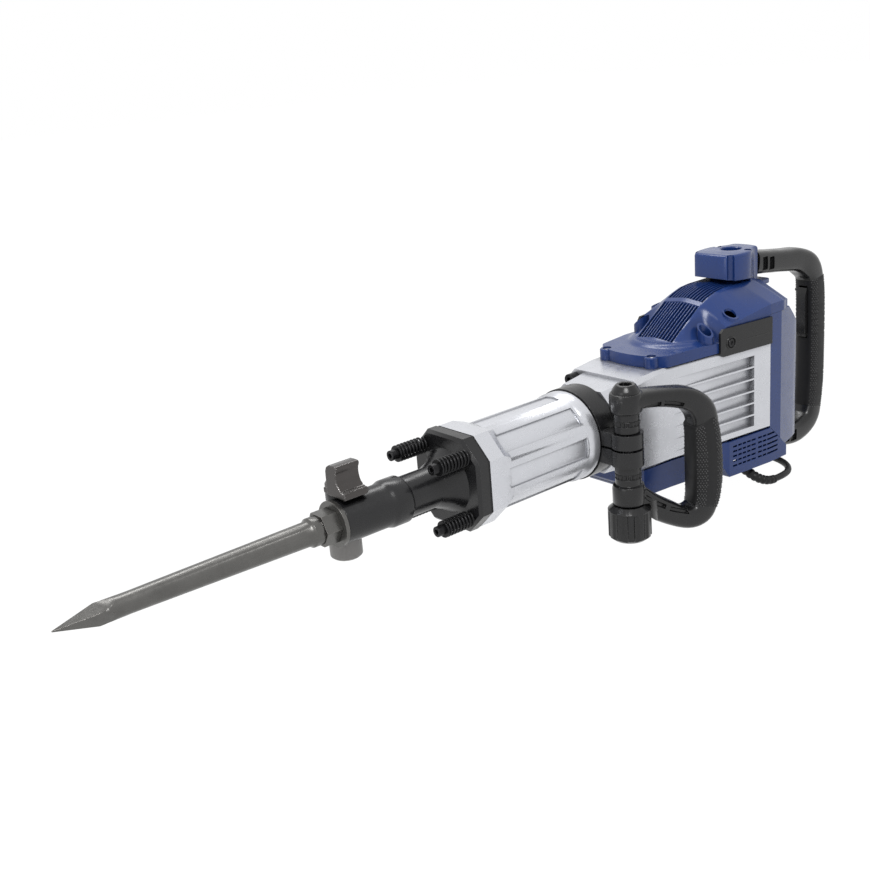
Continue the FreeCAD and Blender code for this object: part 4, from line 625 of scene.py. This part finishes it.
def grown(name, tree, base, values):
    """The plain mesh that a geometry tree makes from a base mesh."""
    carrier = put(name + "_carrier", base)
    modifier = carrier.modifiers.new("grow", "NODES")
    modifier.node_group = tree
    for item in tree.interface.items_tree:
        if item.in_out == "INPUT" and item.name in values:
            modifier[item.identifier] = values[item.name]
    return applied(carrier, name)


def points_mesh(name, places, normals=None):
    mesh = bpy.data.meshes.new(name)
    mesh.from_pydata([tuple(p) for p in places], [], [])
    if normals is not None:
        facing = mesh.attributes.new("facing", "FLOAT_VECTOR", "POINT")
        facing.data.foreach_set("vector", [c for n in normals for c in n])
    return mesh


def coil_spring_tree():
    """One coil spring on each point, lying along X."""
    tree, given = new_tree("coil_spring", [
        ("Coil Radius", "NodeSocketFloat", 0.0077), ("Wire Radius", "NodeSocketFloat", 0.0013),
        ("Turns", "NodeSocketFloat", 7.0), ("Free Length", "NodeSocketFloat", 0.03)])
    spiral = node(tree, "GeometryNodeCurveSpiral", Resolution=26, Rotations=given["Turns"],
                  Start_Radius=given["Coil Radius"], End_Radius=given["Coil Radius"],
                  Height=given["Free Length"])
    wire = node(tree, "GeometryNodeCurvePrimitiveCircle", Resolution=10, Radius=given["Wire Radius"])
    body = node(tree, "GeometryNodeCurveToMesh", Curve=spiral.outputs["Curve"],
                Profile_Curve=wire.outputs["Curve"], Fill_Caps=True)
    lie = node(tree, "GeometryNodeTransform", Geometry=body.outputs["Mesh"], Rotation=(0, math.pi / 2, 0))
    return close_tree(tree, given, given["Geometry"], lie.outputs["Geometry"])


def dot_tree():
    """Low domes standing on points, each along its own facing."""
    tree, given = new_tree("raised_dots", [
        ("Dot Radius", "NodeSocketFloat", 0.0007), ("Dot Height", "NodeSocketFloat", 0.45)])
    dome = node(tree, "GeometryNodeMeshIcoSphere", Subdivisions=2, Radius=given["Dot Radius"])
    flat = node(tree, "ShaderNodeCombineXYZ", X=1, Y=1, Z=given["Dot Height"])
    return close_tree(tree, given, given["Geometry"], dome.outputs["Mesh"],
                      Rotation=turned_to_facing(tree, "Z"), Scale=flat.outputs[0])


def block_tree():
    """Copies of one small block on points, each turned along its own facing."""
    tree, given = new_tree("vent_bars", [("Size", "NodeSocketVector", (0.002, 0.002, 0.03))])
    cube = node(tree, "GeometryNodeMeshCube", Size=given["Size"])
    return close_tree(tree, given, given["Geometry"], cube.outputs["Mesh"],
                      Rotation=turned_to_facing(tree, "Y"))


def slat_tree():
    """Copies of one slat side by side, each a little lower towards the sides of the arched roof."""
    tree, given = new_tree("vent_slats", [
        ("Slats", "NodeSocketInt", 10), ("Pitch", "NodeSocketFloat", 0.0045),
        ("Half Width", "NodeSocketFloat", 0.027), ("Rise", "NodeSocketFloat", 0.003)])
    step = node(tree, "ShaderNodeCombineXYZ", Y=given["Pitch"])
    gaps = maths(tree, "SUBTRACT", given["Slats"], 1)
    width = maths(tree, "MULTIPLY", gaps, given["Pitch"])
    first = node(tree, "ShaderNodeCombineXYZ", Y=maths(tree, "MULTIPLY", width, -0.5))
    line = node(tree, "GeometryNodeMeshLine", Count=given["Slats"], Offset=step.outputs[0],
                Start_Location=first.outputs[0])
    place = tree.nodes.new("GeometryNodeInputPosition")
    parts = node(tree, "ShaderNodeSeparateXYZ", Vector=place.outputs[0])
    share = maths(tree, "DIVIDE", parts.outputs["Y"], given["Half Width"])
    rise = maths(tree, "MULTIPLY", maths(tree, "ABSOLUTE", share, 0), given["Rise"])
    down = node(tree, "ShaderNodeCombineXYZ", Z=maths(tree, "MULTIPLY", rise, -1))
    move = node(tree, "GeometryNodeSetPosition", Geometry=line.outputs["Mesh"], Offset=down.outputs[0])
    return close_tree(tree, given, move.outputs["Geometry"], given["Geometry"])


def damper_springs():
    start, end, bolt_out = 107.6, 138.6, 32
    places = [Vector((start, y, z)) * MM for y in (-bolt_out, bolt_out) for z in (-bolt_out, bolt_out)]
    mesh = grown("damper_coil_springs", coil_spring_tree(), points_mesh("spring_seats", places), {
        "Coil Radius": 7.55 * MM, "Wire Radius": 1.3 * MM, "Turns": 7.5, "Free Length": (end - start) * MM,
        "Finish": FINISHES["black_screw"]})
    springs = piece("damper_coil_springs", mesh, "damper_springs", smooth=60)
    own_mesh(springs)


damper_springs()


# ---------------------------------------------------------------- handles
# A limb is a list of stations: along, up, heading in degrees, half width, half thickness.
REAR_LIMB = [(634.9, 129.7, -8, 14.4, 15.8), (665, 125.5, -8, 14.0, 15.6), (700, 120.6, -8, 14.0, 15.5),
             (728, 116.2, -14, 15.0, 15.5), (750, 105.5, -42, 16.4, 16.0), (762.2, 88, -78, 14.2, 15.0),
             (765.5, 64, -87, 12.6, 12.8), (766, 20, -90, 12.6, 12.8), (766, -40, -90, 12.6, 12.8),
             (764.2, -68, -94, 12.6, 12.8), (761.5, -86, -104, 15.0, 15.8), (752.5, -101, -134, 15.4, 16),
             (733, -109.8, -168, 15.0, 15.5), (712, -110.4, -186, 14.4, 15.1),
             (694, -104.8, -206, 13.8, 15.0), (677, -90.5, -223, 13.5, 15.0)]
REAR_TONGUE = [(613.9, 132.6, -8, 11.8, 12.8), (634.6, 129.8, -8, 12.2, 12.8)]
REAR_SLEEVE = [(762.4, 90, -80, 14.9, 15.5), (765.0, 64, -87, 15.5, 15.9), (766, 20, -90, 15.6, 16.0),
               (766, -40, -90, 15.6, 16.0), (764.2, -66, -93, 15.5, 15.9), (761.9, -85, -101, 15.1, 15.7)]
REAR_FACE_X = 662.12      # where the rear handle's lower arm meets the cover
TRIGGER_ROOM = ((738, 757.2), (-6.3, 6.3), (9.7, 78.3))
SWITCH_ROOM = ((756, 771), (-8, 8), (20, 62))
SIDE_POCKETS = [((641.5, 651.5), (119.5, 135.5)), ((655.0, 665.0), (117.8, 133.2)),
                ((690, 702), (-116, -101.5)), ((705.5, 717.5), (-118, -103.8))]
POCKET_FLOOR, POCKET_MOUTH = 11.8, 22    # from the handle's middle plane

HUB_X, HUB_Y, HUB_R = 328.0, -72.0, 17.4
SWING = math.radians(16)  # the side handle's turn away from straight back
LOOP_LIMB = [(-15.5, 46.4, 0, 6.4, 7.0), (-11, 46.4, 1, 9.0, 14.0), (3, 46.9, 1, 9.5, 16.6),
             (20, 47.2, -1, 9.3, 15.0), (50, 42.8, -9, 10.6, 14.0), (73, 36.2, -24, 12.8, 15.0),
             (88.6, 22.5, -52, 15.0, 15.4), (94.2, 3.6, -79, 15.8, 14.6), (95.2, -30.0, -89, 15.4, 13.6),
             (95.2, -58.0, -91, 15.4, 13.6), (93.0, -82.0, -99, 15.8, 14.6), (86, -95.2, -132, 15.0, 15.4),
             (70, -98.2, -168, 13.2, 14.8), (48, -88.0, -202, 13.0, 14.3), (25, -73.5, -216, 13.3, 14.2),
             (9, -59.5, -228, 12.8, 13.6), (2, -51, -240, 11.5, 12.5)]
LOOP_SLEEVE = [(90.8, 11, -66, 15.9, 15.9), (94.2, -6, -82, 17.4, 16.5), (95.5, -32, -90, 18.6, 17.0),
               (95.5, -58, -91, 18.5, 17.0), (94.0, -78, -97, 17.3, 16.3), (91.2, -88, -106, 16.2, 15.8)]
LOOP_GROOVES = [[(-6, 39.2, 0, 2.1, 3.6), (16, 40.6, 0, 2.5, 3.8), (34, 41.2, -2, 2.5, 3.8)],
                [(38, 41.0, -3, 2.5, 3.8), (50, 38.2, -9, 2.5, 3.8), (62, 34.2, -20, 2.1, 3.6)],
                [(66, -88.4, -172, 2.5, 3.8), (52, -83.0, -196, 2.5, 3.8), (42, -78.6, -205, 2.5, 3.8)],
                [(37, -75.4, -208, 2.5, 3.8), (22, -66.0, -214, 2.5, 3.8), (12, -57.5, -226, 2.1, 3.6)]]
GROOVE_OUT = 14.2
UPPER_EYE = [(35.5, 14.2), (37.2, 16.6), (39, HUB_R), (54.4, HUB_R), (56.8, 16.6), (57.6, 15)]
LOWER_EYE = [(-66, 15), (-65.4, 16.6), (-63.6, HUB_R), (-48, HUB_R), (-44.6, 16.4), (-43.2, 14.2)]
NUT = [(52.2, 14.6), (59.4, 14.6), (60.6, 14.1), (65.2, 10.9), (66.0, 10.1)]


def rear_place(u, z, out):
    return Vector((u, out, z))


def loop_place(u, z, out):
    return Vector((HUB_X + u * math.cos(SWING) + out * math.sin(SWING),
                   HUB_Y - u * math.sin(SWING) + out * math.cos(SWING), z))


def rear_handle():
    rings = limb_rings(REAR_LIMB, rear_place)
    way = Vector((-0.7071, 0, 0.7071))
    rings.append([p + way * ((REAR_FACE_X * MM - p.x) / way.x) for p in rings[-1]])
    pockets = [TRIGGER_ROOM, SWITCH_ROOM]
    for side in (-1, 1):
        pockets += [(x, (side * POCKET_FLOOR, side * POCKET_MOUTH), z) for x, z in SIDE_POCKETS]
    mesh = carved(solid_of("rear_handle_frame", rings), boxes_mesh("handle_pockets", pockets))
    bm = bmesh.new()
    bm.from_mesh(mesh)
    add_rings(bm, limb_rings(REAR_TONGUE, rear_place, 1))
    handle = piece("rear_handle_frame", mesh_of("rear_handle_frame", bm), "rear_handle", smooth=38)
    rounded(handle, 0.5, 50)


def sleeve_mesh(name, stations, place, wall, room=None):
    """A soft sleeve with rolled ends, open inside over its core."""
    outer = limb_rings(stations, place, 6, 40, 3.0)
    for k in (0, -1):
        middle = sum(outer[k], Vector()) / len(outer[k])
        outer[k] = [middle + (p - middle) * (1 - 0.9 * 0.055) for p in outer[k]]
    core = [(u, z, heading, width - wall, thick - wall) for u, z, heading, width, thick in stations]
    inner = limb_rings(core, place, 6, 40, 3.4, 0.05)
    bm = bmesh.new()
    add_rings(bm, outer + list(reversed(inner)) + [outer[0]], close_ends=False)
    outward(bm)
    mesh = mesh_of(name, bm)
    return carved(mesh, boxes_mesh(name + "_room", [room])) if room else mesh


DOTS = dot_tree()
DOT_PITCH = 3.1


def dots_on(name, stations, place, arcs, body, slot):
    """Raised dots, evenly spaced in staggered rows, on parts of a sleeve's surface."""
    places, normals = [], []
    table = between(stations, 24)
    gone, due, row = 0.0, DOT_PITCH * 0.8, 0
    for before, station in zip(table, table[1:]):
        gone += math.dist(before[:2], station[:2])
        if gone < due or station is table[-1]:
            continue
        due += DOT_PITCH * 0.866
        row += 1
        for start, end in arcs:
            last, run, want = None, 0.0, DOT_PITCH * (0.5 if row % 2 else 0.0)
            for quarter in range(start * 4, end * 4 + 1):
                angle = math.radians(quarter / 4)
                p = place(*section_point(station, angle, 3.0, 0.0))
                run += (p - last).length if last is not None else 0.0
                last = p
                if run >= want:
                    want += DOT_PITCH
                    places.append(p * MM)
                    normals.append((place(*section_point(station, angle, 3.0, 1.0)) - p).normalized())
    mesh = grown(name, DOTS, points_mesh(name + "_seats", places, normals), {
        "Dot Radius": 0.85 * MM, "Dot Height": 0.7, "Finish": FINISHES["grip_dots"]})
    repaint(piece(name, mesh, (), body, slot, smooth=60), "grip_dots")


def rear_grip():
    mesh = sleeve_mesh("rear_grip_sleeve", REAR_SLEEVE, rear_place, 3.2, TRIGGER_ROOM)
    piece("rear_grip_sleeve", mesh, "rear_handle_grip", smooth=45)
    dots_on("rear_grip_dots", REAR_SLEEVE, rear_place, [(38, 78), (102, 142), (218, 258), (282, 322)],
            "housing", "black_rubber")


def side_grip():
    mesh = sleeve_mesh("side_grip_sleeve", LOOP_SLEEVE, loop_place, 3.0)
    piece("side_grip_sleeve", mesh, "side_handle_grip", smooth=45)
    dots_on("side_grip_dots", LOOP_SLEEVE, loop_place, [(36, 78), (102, 144), (216, 258), (282, 324)],
            "front_handle", "black_rubber")


def toothed_collar(low, high):
    """A slim collar round the side handle's bolt, with two grooves and a band of teeth between them."""
    slim, middle = 13.9, (low + high) / 2
    below = [(low, slim - 0.8), (low + 0.8, slim), (middle - 3.2, slim), (middle - 2.6, slim - 0.7),
             (middle - 2.0, slim)]
    above = [(middle + 2.0, slim), (middle + 2.6, slim - 0.7), (middle + 3.2, slim), (high - 0.8, slim),
             (high, slim - 0.8)]
    profile = [(z, r, 0) for z, r in below]
    profile += [(middle - 1.9, slim, 1.1), (middle + 1.9, slim, 1.1)]
    profile += [(z, r, 0) for z, r in above]
    rings = []
    for z, radius, tooth in profile:
        ring = []
        for k in range(80):
            r = radius - (tooth if k % 4 > 1 else 0)
            ring.append(Vector((HUB_X + r * math.cos(math.pi * k / 40),
                                HUB_Y + r * math.sin(math.pi * k / 40), z)) * MM)
        rings.append(ring)
    return rings


def side_handle():
    """The loop with its grooved arms, its two eyes and collars on the bolt, and the nut on top."""
    mesh = solid_of("side_handle_loop", limb_rings(LOOP_LIMB, loop_place))
    for side in (-1, 1):
        for groove in LOOP_GROOVES:
            rings = limb_rings(groove, lambda u, z, out: loop_place(u, z, out + side * GROOVE_OUT), 5, 16)
            mesh = carved(mesh, solid_of("arm_groove", rings))
    for name, radius, low, high in (("under_hub", 30, -140, -66.0), ("between_eyes", 19, -22.3, 14.3)):
        mesh = carved(mesh, posts(name, [(HUB_X, HUB_Y, [(low, radius), (high, radius)])]))
    bm = bmesh.new()
    bm.from_mesh(mesh)
    for low, high, eye in ((14.3, 36.5, UPPER_EYE), (-44.5, -22.3, LOWER_EYE)):
        add_rings(bm, toothed_collar(low, high))
        lathe(bm, eye, (HUB_X, HUB_Y, 0), "Z", 56)
    piece("side_handle_loop", mesh_of("side_handle_loop", bm), "side_handle", smooth=40)
    mesh = carved(posts("side_handle_nut_turned", [(HUB_X, HUB_Y, NUT)], 56),
                  posts("nut_hexagon", [(HUB_X, HUB_Y, [(59.2, 7.5), (69, 7.5)])], 6))
    turned = piece("side_handle_nut_turned", mesh, "side_handle_nut", smooth=35)
    rounded(turned, 0.6, 40, harden=False)


def retainer_lever():
    """The thumb lever that turns the tool retainer: a scooped paddle with ribs at its foot."""
    x, y, seat = 25.0, 20.0, 24.8
    outline = [(-16, seat), (-16.4, 30.5), (-15.2, 32.6), (-13.6, 31.0), (-12.0, 33.2), (-10.4, 31.8),
               (-8.8, 34.6), (-7.2, 35.4), (-5.6, 38.2), (-4.6, 42.0), (-4.4, 45.6), (-5.0, 49.4),
               (-6.6, 52.4), (-6.9, 54.6), (-5.4, 55.9), (-1, 56.0), (5.5, 55.6), (9.6, 53.2),
               (11.6, 49.0), (12.0, 43.0), (12.0, seat)]
    bm = bmesh.new()
    add_rings(bm, [[Vector((x + dx, py, pz)) * MM for py, pz in outline] for dx in (-19, 8)])
    lathe(bm, [(seat, 13.4), (seat + 5, 13.4), (seat + 7.6, 11.6), (seat + 8, 10.6)], (x, y, 0), "Z", 48)
    box_at(bm, (x - 17.6, x + 10.6), (y - 33.6, y), (seat, seat + 5.4))
    outward(bm)
    lever = piece("retainer_thumb_lever", mesh_of("retainer_thumb_lever", bm), "retainer_lever", smooth=38)
    repaint(lever, "lever_steel")
    rounded(lever, 0.9, 45, segments=3)


rear_handle()
rear_grip()
side_handle()
side_grip()
retainer_lever()


# ---------------------------------------------------------------- gear cover
RIDGE = [(407, 68.4), (418, 69.2), (440, 69.5), (450, 71), (460, 76), (484, 92.5), (508, 107.5),
         (522, 114), (538, 118.4), (553, 120), (606, 120), (620, 117)]
SHOULDER = [(407, 66), (440, 66), (470, 65), (503, 67), (512, 84), (553, 92), (582, 97), (606, 97),
            (620, 95)]
ROOF_HALF = 27.0          # from the middle to the edge of the arched roof
WINDOW_HALF = 25.0
COVER_FOOT = 56.1
COVER_WALL = 3.0
BOSS = (415, 32.6)        # the front screws
TOWERS = ((491, 46.5, 75.5, 0.8), (529, 52.0, 90, 0.5))    # x, y, height at the outer edge, lean
TOWER_R = 9.0
WELL_R = 6.8
SEATS = ((*BOSS, 63), (491, 46.5, 61), (529, 52.0, 61))    # x, y, top of each screw's seat
SLATS = {"Slats": 11, "Pitch": 4.17 * MM, "Half Width": ROOF_HALF * MM, "Rise": 3 * MM}
CASE_WIDENS, CASE_RUN = 21.0, 156.0    # each side of the case moves out by the first over the second


def case_half(x):
    return 48.0 + CASE_WIDENS * max(0.0, min(1.0, (x - 426) / CASE_RUN))


def cover_half(x):
    if x < 430:
        return 0.6 + (case_half(430) - 0.6) * math.sqrt(max(0.0, 1 - ((430 - x) / 23.2) ** 2))
    return case_half(x) - 4 * eased_step(606, 620, x)


def roof_drop(x, y):
    soft = 6.0 - 5.6 * eased_step(535, 556, x)
    return 3.0 * (math.hypot(y, soft) - soft) / (math.hypot(ROOF_HALF, soft) - soft)


def cover_height(x, y):
    """The cover's top over a place: a flat rim, a raised ring inside it, and the arched roof behind."""
    y, half = abs(y), cover_half(x)
    ridge, shoulder = table_at(RIDGE, x), table_at(SHOULDER, x)
    share = max(0.0, min(1.0, (y - ROOF_HALF) / max(1.0, half - ROOF_HALF)))
    rear = eased_step(500, 514, x)
    fall = (1 - share) ** (1.9 - 0.9 * rear)
    edge = ridge - roof_drop(x, min(y, ROOF_HALF))
    height = shoulder + (edge - shoulder) * fall
    if x < 512:
        reach = math.hypot(min(0.0, x - 486) / 52, y / (case_half(x) - 4.5))
        ring = 3.6 * eased_step(-1.0, -0.84, -reach) * (1 - rear)
        height = max(height, 69.2 + ring - 0.06 * max(0.0, x - 470))
    return height


def cover_solid(name, inset):
    """A closed solid under the cover's top, or its inside when inset by the wall."""
    xs = [407 + inset + t for t in (0, 0.15, 0.6, 1.3, 2.3, 3.6, 5.2, 7, 9, 11.5, 14, 17)]
    xs += list(range(426 + int(inset), 618 - int(inset), 2)) + [620 - inset]
    bm = bmesh.new()
    top = []
    count = 46
    low = 50.0 if inset else COVER_FOOT
    for x in xs:
        half = max(0.4, cover_half(x - inset if x < 430 else x) - inset)
        row = []
        for j in range(count + 1):
            v = 2 * j / count - 1
            y = math.copysign(1 - (1 - abs(v)) ** 1.15, v) * half
            row.append(bm.verts.new(Vector((x, y, cover_height(x, y) - inset)) * MM))
        top.append(row)
    base = [[bm.verts.new((v.co.x, v.co.y, low * MM)) for v in row] for row in top]
    for rows in (top, base):
        for a, b in zip(rows, rows[1:]):
            for j in range(count):
                quad = (a[j], a[j + 1], b[j + 1], b[j])
                bm.faces.new(quad if rows is top else (a[j], b[j], b[j + 1], a[j + 1]))
    for j in (0, count):
        for i in range(len(xs) - 1):
            bm.faces.new((top[i][j], top[i + 1][j], base[i + 1][j], base[i][j]))
    for i in (0, -1):
        for j in range(count):
            bm.faces.new((top[i][j], top[i][j + 1], base[i][j + 1], base[i][j]))
    bmesh.ops.recalc_face_normals(bm, faces=bm.faces)
    return mesh_of(name, bm, merge=False)


def cover_towers():
    """Round screw towers whose tops lean with the cover's flank."""
    sets = []
    for side in (-1, 1):
        for x, y, low, lean in TOWERS:
            ring = [(x + TOWER_R * math.cos(math.pi * k / 20),
                     side * y + TOWER_R * math.sin(math.pi * k / 20)) for k in range(40)]
            sets.append([[Vector((a, b, COVER_FOOT + 0.9)) * MM for a, b in ring],
                         [Vector((a, b, low + (y + TOWER_R + 0.4 - abs(b)) * lean)) * MM for a, b in ring]])
    return solid_of("cover_towers", *sets)


def gear_cover():
    """The blue vented cover: bosses and towers joined on, then hollowed, drilled and opened."""
    both = (-1, 1)
    bosses = [(BOSS[0], side * BOSS[1], [(COVER_FOOT, 8), (67.6, 8), (68.6, 7.2)]) for side in both]
    wells = [(BOSS[0], side * BOSS[1], [(50, 5.2), (90, 5.2)]) for side in both]
    wells += [(x, side * y, [(50, WELL_R), (130, WELL_R)]) for x, y, _, _ in TOWERS for side in both]
    windows = [((459, 508), (-WINDOW_HALF, WINDOW_HALF), (62, 130)),
               ((514, 592), (-WINDOW_HALF, WINDOW_HALF), (90, 130)),
               ((581.8, 640), (-80, 80), (40, 85.0))]
    mesh = carved(cover_solid("gear_cover_shell", 0.0), posts("cover_bosses", bosses, 40), "UNION")
    mesh = carved(mesh, cover_towers(), "UNION")
    mesh = carved(mesh, cover_solid("cover_inside", COVER_WALL))
    mesh = carved(mesh, posts("cover_wells", wells))
    mesh = carved(mesh, boxes_mesh("cover_windows", windows))
    seats = [(x, side * y, [(COVER_FOOT, 3.2), (COVER_FOOT, 7.0), (top, 7.0), (top, 3.2)])
             for side in both for x, y, top in SEATS]
    bm = bmesh.new()
    bm.from_mesh(mesh)
    bm.from_mesh(posts("cover_seats", seats))
    cover = piece("gear_cover_shell", mesh_of("gear_cover_shell", bm), "gear_cover", smooth=32)
    rounded(cover, 0.9, 42)


def vent_slats():
    """The slats in the cover's two windows, each following the ridge."""
    tree = slat_tree()
    section = ((-0.65, 4.0), (0.65, 4.0), (0.65, 0.6), (0.35, 0.3), (-0.35, 0.3), (-0.65, 0.6))
    for name, first, last in (("front_vent_slats", 457.5, 509), ("roof_vent_slats", 513, 593)):
        count = int((last - first) / 3)
        stations = [first + (last - first) * i / count for i in range(count + 1)]
        rings = [[Vector((x, y, table_at(RIDGE, x) - drop)) * MM for y, drop in section] for x in stations]
        slats = grown(name, tree, solid_of(name + "_one", rings),
                      SLATS | {"Finish": FINISHES["blue_plastic"]})
        piece(name, slats, (), "housing", "blue_plastic", smooth=40)


gear_cover()
vent_slats()


# ---------------------------------------------------------------- handle bracket
BRACKET_HALF, BRACKET_TOP = 31.5, 152.5
BRACKET_MIDDLE = 598      # its edges round off towards this
BRACKET_FRONT = [(559, 13), (562, 6.5), (572, 1.5), (596, 0), (612, 9.5), (621, 13.5), (632, 14.5)]
UNDER_BRACKET = [(540, 90), (598.2, 90), (598.2, 120.4), (590, 121.2), (566, 122.8), (560.5, 124.4),
                 (540, 131)]
TONGUE_ROOM = [(613.0, 132.8, -8, 12.4, 13.4), (645, 128.2, -8, 12.9, 13.4)]
LIP = [(620, -17), (650, -17), (654.5, -15), (656, -11)]


def mirrored(outline):
    return outline + [(x, -y) for x, y in reversed(outline)]


def bracket():
    """The block that holds the rear handle: rounded all over, with its hole, grooves and lip."""
    top = BRACKET_TOP
    plan = mirrored([(x, inset - BRACKET_HALF) for x, inset in BRACKET_FRONT])
    for _ in range(2):
        plan = [((a[0] * u + b[0] * (4 - u)) / 4, (a[1] * u + b[1] * (4 - u)) / 4)
                for a, b in zip(plan, plan[1:] + plan[:1]) for u in (3, 1)]
    rings = []
    for z, inset in ((103, 0.6), (103.8, 0), (top - 3, 0), (top - 1.6, 0.45), (top - 0.5, 1.5), (top, 3.1)):
        rings.append([Vector((BRACKET_MIDDLE + (x - BRACKET_MIDDLE) * (1 - inset / 34),
                              y * (1 - inset / 28), z)) * MM for x, y in plan])
    under = [[Vector((x, y, z)) * MM for x, z in UNDER_BRACKET] for y in (-50, 50)]
    mesh = carved(solid_of("handle_bracket_block", rings), solid_of("under_bracket", under))
    roof = cover_solid("cover_top", 0.0)
    roof.transform(Matrix.Translation((0, 0, 0.1 * MM)))
    mesh = carved(mesh, roof)
    mesh = carved(mesh, boxes_mesh("behind_cover", [((590, 620.4), (-80, 80), (90, 111))]))
    lip = [[Vector((x, y, z)) * MM for x, y in mirrored(LIP)] for z in (103, 108)]
    mesh = carved(mesh, solid_of("bracket_lip", lip), "UNION")
    mesh = carved(mesh, solid_of("tongue_room", limb_rings(TONGUE_ROOM, rear_place, 1)))
    holes = [(600, 0, [(top - 20, 12), (top - 1.2, 12), (top - 0.2, 13.2), (top + 2, 13.2)])]
    for side in (-1, 1):
        holes.append((565, side * 26, [(95, 4.5), (170, 4.5)]))
        holes.append((603, side * 21.5, [(top - 12, 4.4), (170, 4.4)]))
    mesh = carved(mesh, posts("bracket_holes", holes, 40))
    rounded(piece("handle_bracket_block", mesh, "handle_bracket", smooth=35), 0.8, 48)


bracket()


# ---------------------------------------------------------------- motor cover and side plates
def motor_vent_bars():
    """Upright bars that break the motor cover's long slots into short ones."""
    places, normals = [], []
    for side in (-1, 1):
        for x in [528 + 7.5 * i for i in range(4)] + [570.0, 577.5]:
            y = case_half(x) - 1.6 + 2 * (1 - eased_step(514, 582, x))
            places.append(Vector((x, side * y, -73.0)) * MM)
            normals.append(Vector((-0.1333, side, 0)).normalized())
    mesh = grown("motor_vent_bars", block_tree(), points_mesh("bar_seats", places, normals), {
        "Size": (1.7 * MM, 2.6 * MM, 27.5 * MM), "Finish": FINISHES["blue_plastic"]})
    piece("motor_vent_bars", mesh, (), "housing", "blue_plastic", smooth=30)


def side_plates():
    """The plates with a raised collar round their screw and one raised line."""
    slope, plate_out, up = math.atan(CASE_WIDENS / CASE_RUN), 3.1, Vector((0, 0, 1))
    screw_x, screw_z, corners = 516, 65.4, 40
    collar = ((7.6, -1), (7.6, 0.5), (7.0, 1.1), (6.2, 1.1), (5.7, 0.6), (5.7, -1))
    line = [(527.5, 65.0), (577, 65.0), (577, 65.8), (527.5, 65.8)]
    for node_name in ("side_plate_left", "side_plate_right"):
        bm = merged(node_name)
        side = 1 if sum(v.co.y for v in bm.verts) > 0 else -1
        out = Vector((-math.sin(slope), side * math.cos(slope), 0))
        back = Vector((math.cos(slope), side * math.sin(slope), 0))
        centre = Vector((screw_x, side * (case_half(screw_x) + plate_out), screw_z))
        rings = [[(centre + out * h + back * r * math.cos(math.pi * k / 20)
                   + up * r * math.sin(math.pi * k / 20)) * MM for k in range(corners)] for r, h in collar]
        add_rings(bm, rings + [rings[0]], close_ends=False)
        add_rings(bm, [[(Vector((x, side * (case_half(x) + plate_out), z)) + out * h) * MM for x, z in line]
                       for h in (-0.6, 0.5)])
        outward(bm)
        name = node_name + "_pressed"
        rounded(piece(name, mesh_of(name, bm), node_name, smooth=34), 0.35, 40)


motor_vent_bars()
side_plates()


# ---------------------------------------------------------------- castings and mouldings kept from the frame
EASED = {
    "chisel": 0.5, "nose_housing": 1.2, "tool_sleeve": 0.5, "retainer_cap": 1.0, "damper_bolts": 0.35,
    "damper_washers": 0.3, "nose_buffer": 0.4, "barrel": 1.0, "crank_case": 0.8, "case_bolts": 0.5,
    "gear_cover_screws": 0.3, "motor_cover": 0.8, "motor_cover_screws": 0.2, "rear_cover": 1.5,
    "rear_cover_screws": 0.2, "side_plate_screws": 0.3, "bracket_screws": 0.3, "trigger": 0.8,
    "clamp_band": 0.8, "side_handle_knob": 0.8,
}
for node_name, width in EASED.items():
    kept = eased(node_name, width)
    if node_name == "tool_sleeve":
        repaint(kept, "dark_steel")


# ---------------------------------------------------------------- everything the frame still shows
for node_name, shown in frame["nodes"].items():
    if not shown.hide_render:
        repaint(shown, SLOT_OF[node_name])
        shown.data.polygons.foreach_set("material_index", [0] * len(shown.data.polygons))
